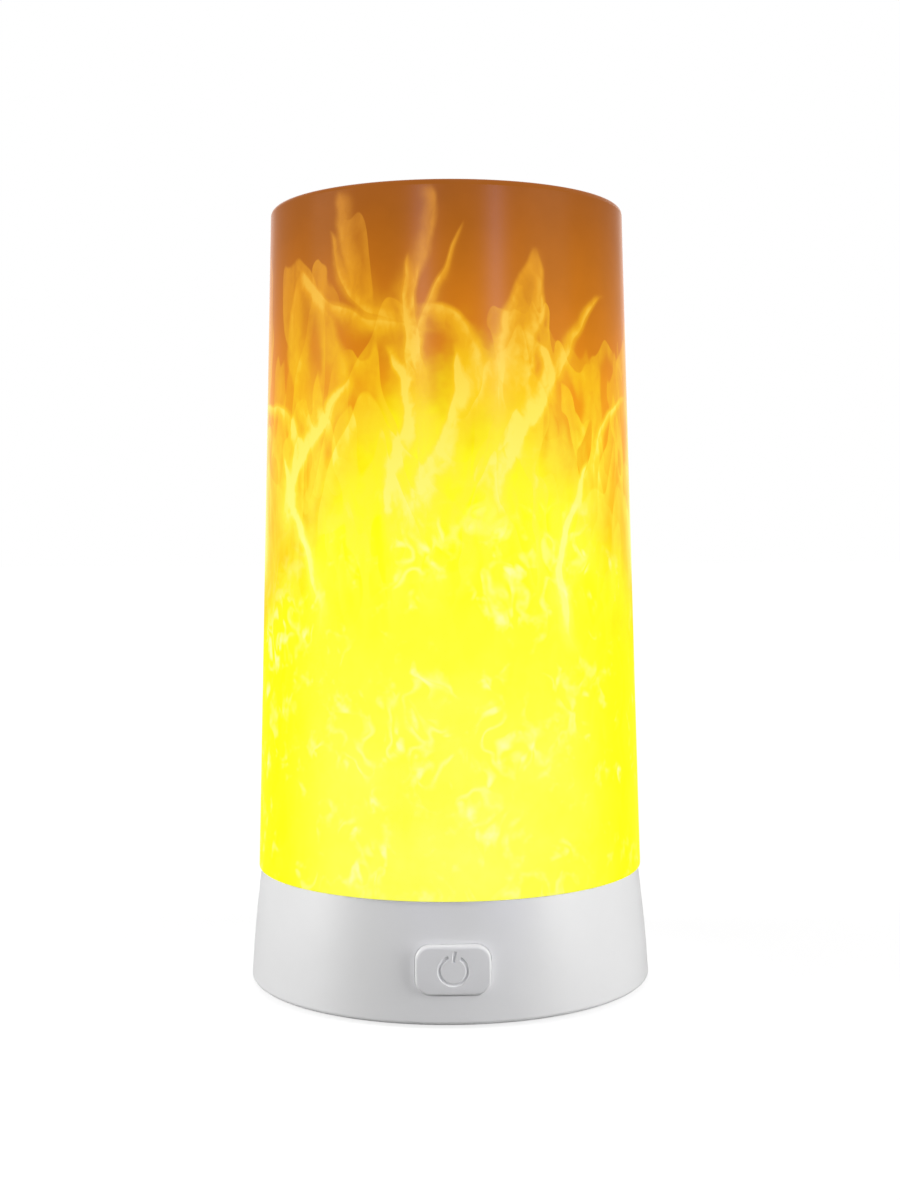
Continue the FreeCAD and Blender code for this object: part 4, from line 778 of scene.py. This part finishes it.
# Layered veils. Their level rises with height, so that they end in tongues.
level = node(tree, "Math", {0: height, 1: 0.9, 2: -0.14}, operation="MULTIPLY_ADD")
flame = 0.0
for seed, width, sway, lift, share in (
    (3.1, 0.016, 1.8, -0.01, 0.7),
    (11.7, 0.009, 2.2, 0.02, 0.62),
    (23.9, 0.013, 1.6, -0.02, 0.7),
):
    raised = node(tree, "Math", {0: level, 1: lift}, operation="ADD")
    veil = node(tree, "Group", {
        "Point": point, "Level": raised, "Seed": seed, "Width": width, "Sway": sway,
    }, node_tree=veils)
    flame = node(tree, "Math", {0: veil, 1: share, 2: flame}, operation="MULTIPLY_ADD")

# The veils are thinner at the sides, and in the full yellow they melt into the glow.
melt = node(tree, "MapRange", {
    "Value": height, "From Min": 0.34, "From Max": 0.64, "To Min": 0.08, "To Max": 1.0,
}, **smooth)
thin = node(tree, "MapRange", {
    "Value": swing, "From Min": -0.9, "From Max": 0.2, "To Min": 0.45, "To Max": 1.0,
}, **smooth)
for part in (melt, thin):
    flame = node(tree, "Math", {0: flame, 1: part}, operation="MULTIPLY")

# Long tongues, in front and again behind, where they stand turned, lower and bent otherwise.
# For each edge: four (angle in degrees, height) points from foot to tip, the line's and the
# veil's width in millimetres, the side of the veil and the brightness.
behind = node(tree, "MapRange", {"Value": parts.outputs["Y"], "From Min": -0.037, "From Max": 0.037})
wander = node(tree, "TexNoise", {
    "Vector": point, "Scale": grain_scale(16.67), "Detail": 2.0, "Roughness": 0.5,
})
wander = node(tree, "SeparateXYZ", {0: wander.outputs["Color"]})
shifted = node(tree, "Math", {0: wander.outputs["X"], 1: 0.5}, operation="SUBTRACT")
shifted = node(tree, "Math", {0: shifted, 1: 0.22, 2: angle}, operation="MULTIPLY_ADD")
shifted = node(tree, "Math", {0: behind, 1: 0.35, 2: shifted}, operation="MULTIPLY_ADD")
lifted = node(tree, "Math", {0: wander.outputs["Y"], 1: 0.5}, operation="SUBTRACT")
lifted = node(tree, "Math", {0: lifted, 1: 0.06, 2: height}, operation="MULTIPLY_ADD")
lifted = node(tree, "Math", {0: behind, 1: 0.05, 2: lifted}, operation="MULTIPLY_ADD")
edges = [
    ([(-46, 0.60), (-50, 0.73), (-52, 0.83), (-46, 0.90)], 0.8, 15.64, 1, 0.5),
    ([(-24, 0.68), (-32, 0.79), (-39, 0.85), (-46, 0.90)], 0.9, 7.82, -1, 0.5),
    ([(5, 0.775), (-13, 0.80), (-32, 0.837), (-46, 0.90)], 0.8, 4.42, -1, 0.85),
    ([(-14, 0.78), (-28, 0.85), (-32, 0.92), (-36, 1.04)], 0.8, 7.82, 1, 0.5),
    ([(-6, 0.79), (-21, 0.82), (-31, 0.86), (-35, 0.95)], 0.8, 2.72, 1, 0.75),
    ([(-15, 0.78), (-9, 0.88), (-4, 0.95), (-11, 1.04)], 0.8, 7.14, -1, 0.45),
    ([(-15, 0.70), (-13, 0.80), (-14, 0.86), (-13, 0.91)], 0.8, 3.06, 1, 0.69),
    ([(-7, 0.70), (-9, 0.80), (-10, 0.86), (-9, 0.90)], 0.8, 3.06, -1, 0.69),
    ([(-8, 0.68), (-6, 0.83), (0, 0.89), (5, 0.94)], 0.7, 3.06, 1, 0.75),
    ([(3, 0.66), (11, 0.75), (4, 0.80), (-8, 0.835)], 1.0, 10.88, -1, 0.95),
    ([(19, 0.64), (15, 0.78), (21, 0.85), (28, 0.92)], 0.9, 11.73, 1, 0.75),
    ([(34, 0.64), (26, 0.76), (31, 0.86), (28, 0.92)], 0.8, 7.82, -1, 0.80),
    ([(21, 0.69), (41, 0.775), (48, 0.825), (62, 0.87)], 1.0, 5.1, -1, 0.85),
    ([(50, 0.56), (54, 0.65), (62, 0.70), (80, 0.74)], 1.0, 5.78, 1, 0.80),
    ([(-42, 0.60), (-49, 0.67), (-60, 0.71), (-73, 0.74)], 1.0, 5.78, -1, 0.80),
    ([(-40, 0.36), (-43, 0.47), (-50, 0.56), (-57, 0.64)], 0.9, 3.74, 1, 1.5),
    ([(43, 0.32), (37, 0.45), (42, 0.55), (52, 0.62)], 1.0, 4.42, -1, 1.7),
    ([(-16, 0.46), (-17, 0.60), (-15, 0.69), (-19, 0.78)], 0.8, 7.82, 1, 1.3),
    ([(-10, 0.48), (-8, 0.60), (0, 0.69), (2, 0.77)], 1.0, 9.52, 1, 1.4),
    ([(25, 0.50), (18, 0.60), (29, 0.68), (23, 0.80)], 1.0, 10.88, -1, 1.4),
    ([(-36, 0.50), (-48, 0.60), (-40, 0.66), (-28, 0.74)], 1.0, 7.48, -1, 1.3),
]
for points, line, soft, side, light in edges:
    low, high = points[0][1], points[-1][1]
    ways = [(up - low) / (high - low) for turn, up in points]
    cubic = np.polyfit(ways, [math.radians(turn) for turn, up in points], 3)
    tongue = node(tree, "Group", {
        "Angle": shifted, "Height": lifted, "Low": low, "High": high,
        "A3": cubic[0], "A2": cubic[1], "A1": cubic[2], "A0": cubic[3],
        "Ridge": line, "Veil": soft, "Side": side, "Light": light,
    }, node_tree=stroke)
    flame = node(tree, "Math", {0: flame, 1: tongue}, operation="ADD")

# Fine streaks along the flames keep the veils from looking even. The picture ends at the rim;
# the closed top only glows, a little unevenly.
streak = node(tree, "VectorMath", {0: point, 1: (1, 1, 0.16)}, operation="MULTIPLY")
bend = node(tree, "VectorMath", {0: drift.outputs["Color"], "Scale": 0.012}, operation="SCALE")
streak = node(tree, "VectorMath", {0: streak, 1: bend}, operation="ADD")
streak = node(tree, "TexNoise", {"Vector": streak, "Scale": grain_scale(2.381), "Detail": 2.0})
streak = node(tree, "MapRange", {
    "Value": streak, "From Min": 0.3, "From Max": 0.7, "To Min": 0.55, "To Max": 1.3,
})
wall = node(tree, "MapRange", {
    "Value": height, "From Min": 0.975, "From Max": 0.995, "To Min": 1.0, "To Max": 0.0,
}, **smooth)
for part in (streak, wall):
    flame = node(tree, "Math", {0: flame, 1: part}, operation="MULTIPLY")
clear = node(tree, "Math", {0: flame, 1: -1.7}, operation="MULTIPLY")
clear = node(tree, "Math", {0: clear}, operation="EXPONENT")
lit = node(tree, "Math", {0: 1.0, 1: clear}, operation="SUBTRACT")
heart = node(tree, "MapRange", {
    "Value": flame, "From Min": 0.75, "From Max": 1.9, "To Min": 0.0, "To Max": 0.7,
}, **smooth)
fire = node(tree, "ValToRGB", {"Fac": height}, [
    (0.45, linear("#ffff50")),
    (0.62, linear("#ffec38")),
    (0.72, linear("#ffce1c")),
    (0.86, linear("#f0a620")),
    (1.0, linear("#d68a34")),
])
pale = node(tree, "ValToRGB", {"Fac": height}, [
    (0.5, linear("#ffff90")),
    (0.68, linear("#fff068")),
    (0.8, linear("#fdcc48")),
    (1.0, linear("#e6a440")),
])

# Pale flecks in the yellow part, in clumps: short soft curls where a warped noise crosses its
# middle, and small drops where it is high.
curl = node(tree, "TexNoise", {"Vector": point, "Scale": grain_scale(8.333), "Detail": 1.0})
curl = node(tree, "VectorMath", {0: curl.outputs["Color"], "Scale": 0.012}, operation="SCALE")
bent = node(tree, "VectorMath", {0: point, 1: curl}, operation="ADD")
bent = node(tree, "VectorMath", {0: bent, 1: (1, 1, 0.7)}, operation="MULTIPLY")
line = node(tree, "TexNoise", {"Vector": bent, "Scale": grain_scale(6.061), "Detail": 1.4, "Roughness": 0.45})
line = node(tree, "Math", {0: line, 1: 0.5}, operation="SUBTRACT")
line = node(tree, "Math", {0: line}, operation="ABSOLUTE")
line = node(tree, "MapRange", {
    "Value": line, "From Min": 0.0, "From Max": 0.08, "To Min": 0.36, "To Max": 0.0,
}, **smooth)
drop = node(tree, "VectorMath", {0: bent, 1: (1, 1, 0.8)}, operation="MULTIPLY")
drop = node(tree, "TexNoise", {"Vector": drop, "Scale": grain_scale(3.448), "Detail": 1.0})
drop = node(tree, "MapRange", {
    "Value": drop, "From Min": 0.53, "From Max": 0.74, "To Min": 0.0, "To Max": 0.8,
}, **smooth)
patch = node(tree, "TexNoise", {
    "Vector": point, "Scale": grain_scale(6.667), "Detail": 3.0, "Roughness": 0.6,
})
group = node(tree, "TexNoise", {"Vector": point, "Scale": grain_scale(26.32), "Detail": 1.0})
patch = node(tree, "Math", {0: group, 1: 0.8, 2: patch}, operation="MULTIPLY_ADD")
patch = node(tree, "MapRange", {"Value": patch, "From Min": 0.86, "From Max": 1.1}, **smooth)
low = node(tree, "MapRange", {
    "Value": height, "From Min": 0.46, "From Max": 0.6, "To Min": 1.0, "To Max": 0.0,
}, **smooth)
fleck = node(tree, "Math", {0: line, 1: drop}, operation="MAXIMUM")
for part in (patch, yellow, low):
    fleck = node(tree, "Math", {0: fleck, 1: part}, operation="MULTIPLY")

# Low in front and behind the glow is a little paler.
glow = node(tree, "MapRange", {
    "Value": height, "From Min": 0.1, "From Max": 0.55, "To Min": 1.0, "To Max": 0.0,
}, **smooth)
facing = node(tree, "MapRange", {"Value": swing, "From Min": -0.6, "From Max": 1.0}, **smooth)
for part in (facing, drift):
    glow = node(tree, "Math", {0: glow, 1: part}, operation="MULTIPLY")

uneven = node(tree, "MapRange", {
    "Value": drift, "From Min": 0.3, "From Max": 0.7, "To Min": 0.93, "To Max": 1.07,
})
colour = node(tree, "VectorMath", {0: ground, "Scale": uneven}, operation="SCALE")
for share, laid in (
    (yellow, linear("#ffff10")),
    (lit, fire),
    (heart, pale),
    (glow, linear("#ffff78")),
    (fleck, linear("#ffffb4")),
):
    colour = node(tree, "MixRGB", {"Fac": share, "Color1": colour, "Color2": laid})
feed(tree, shader, {
    "Base Color": node(tree, "MixRGB", {
        "Fac": 1.0, "Color1": colour, "Color2": linear("#ffffff", 0.05),
    }, blend_type="MULTIPLY"),
    "Emission Color": colour,
    "Emission Strength": 0.97,
    "Roughness": 0.28,
    "Specular IOR Level": 0.022,
})
dress(picture, "shade")
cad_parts["shade"].visible_diffuse = False
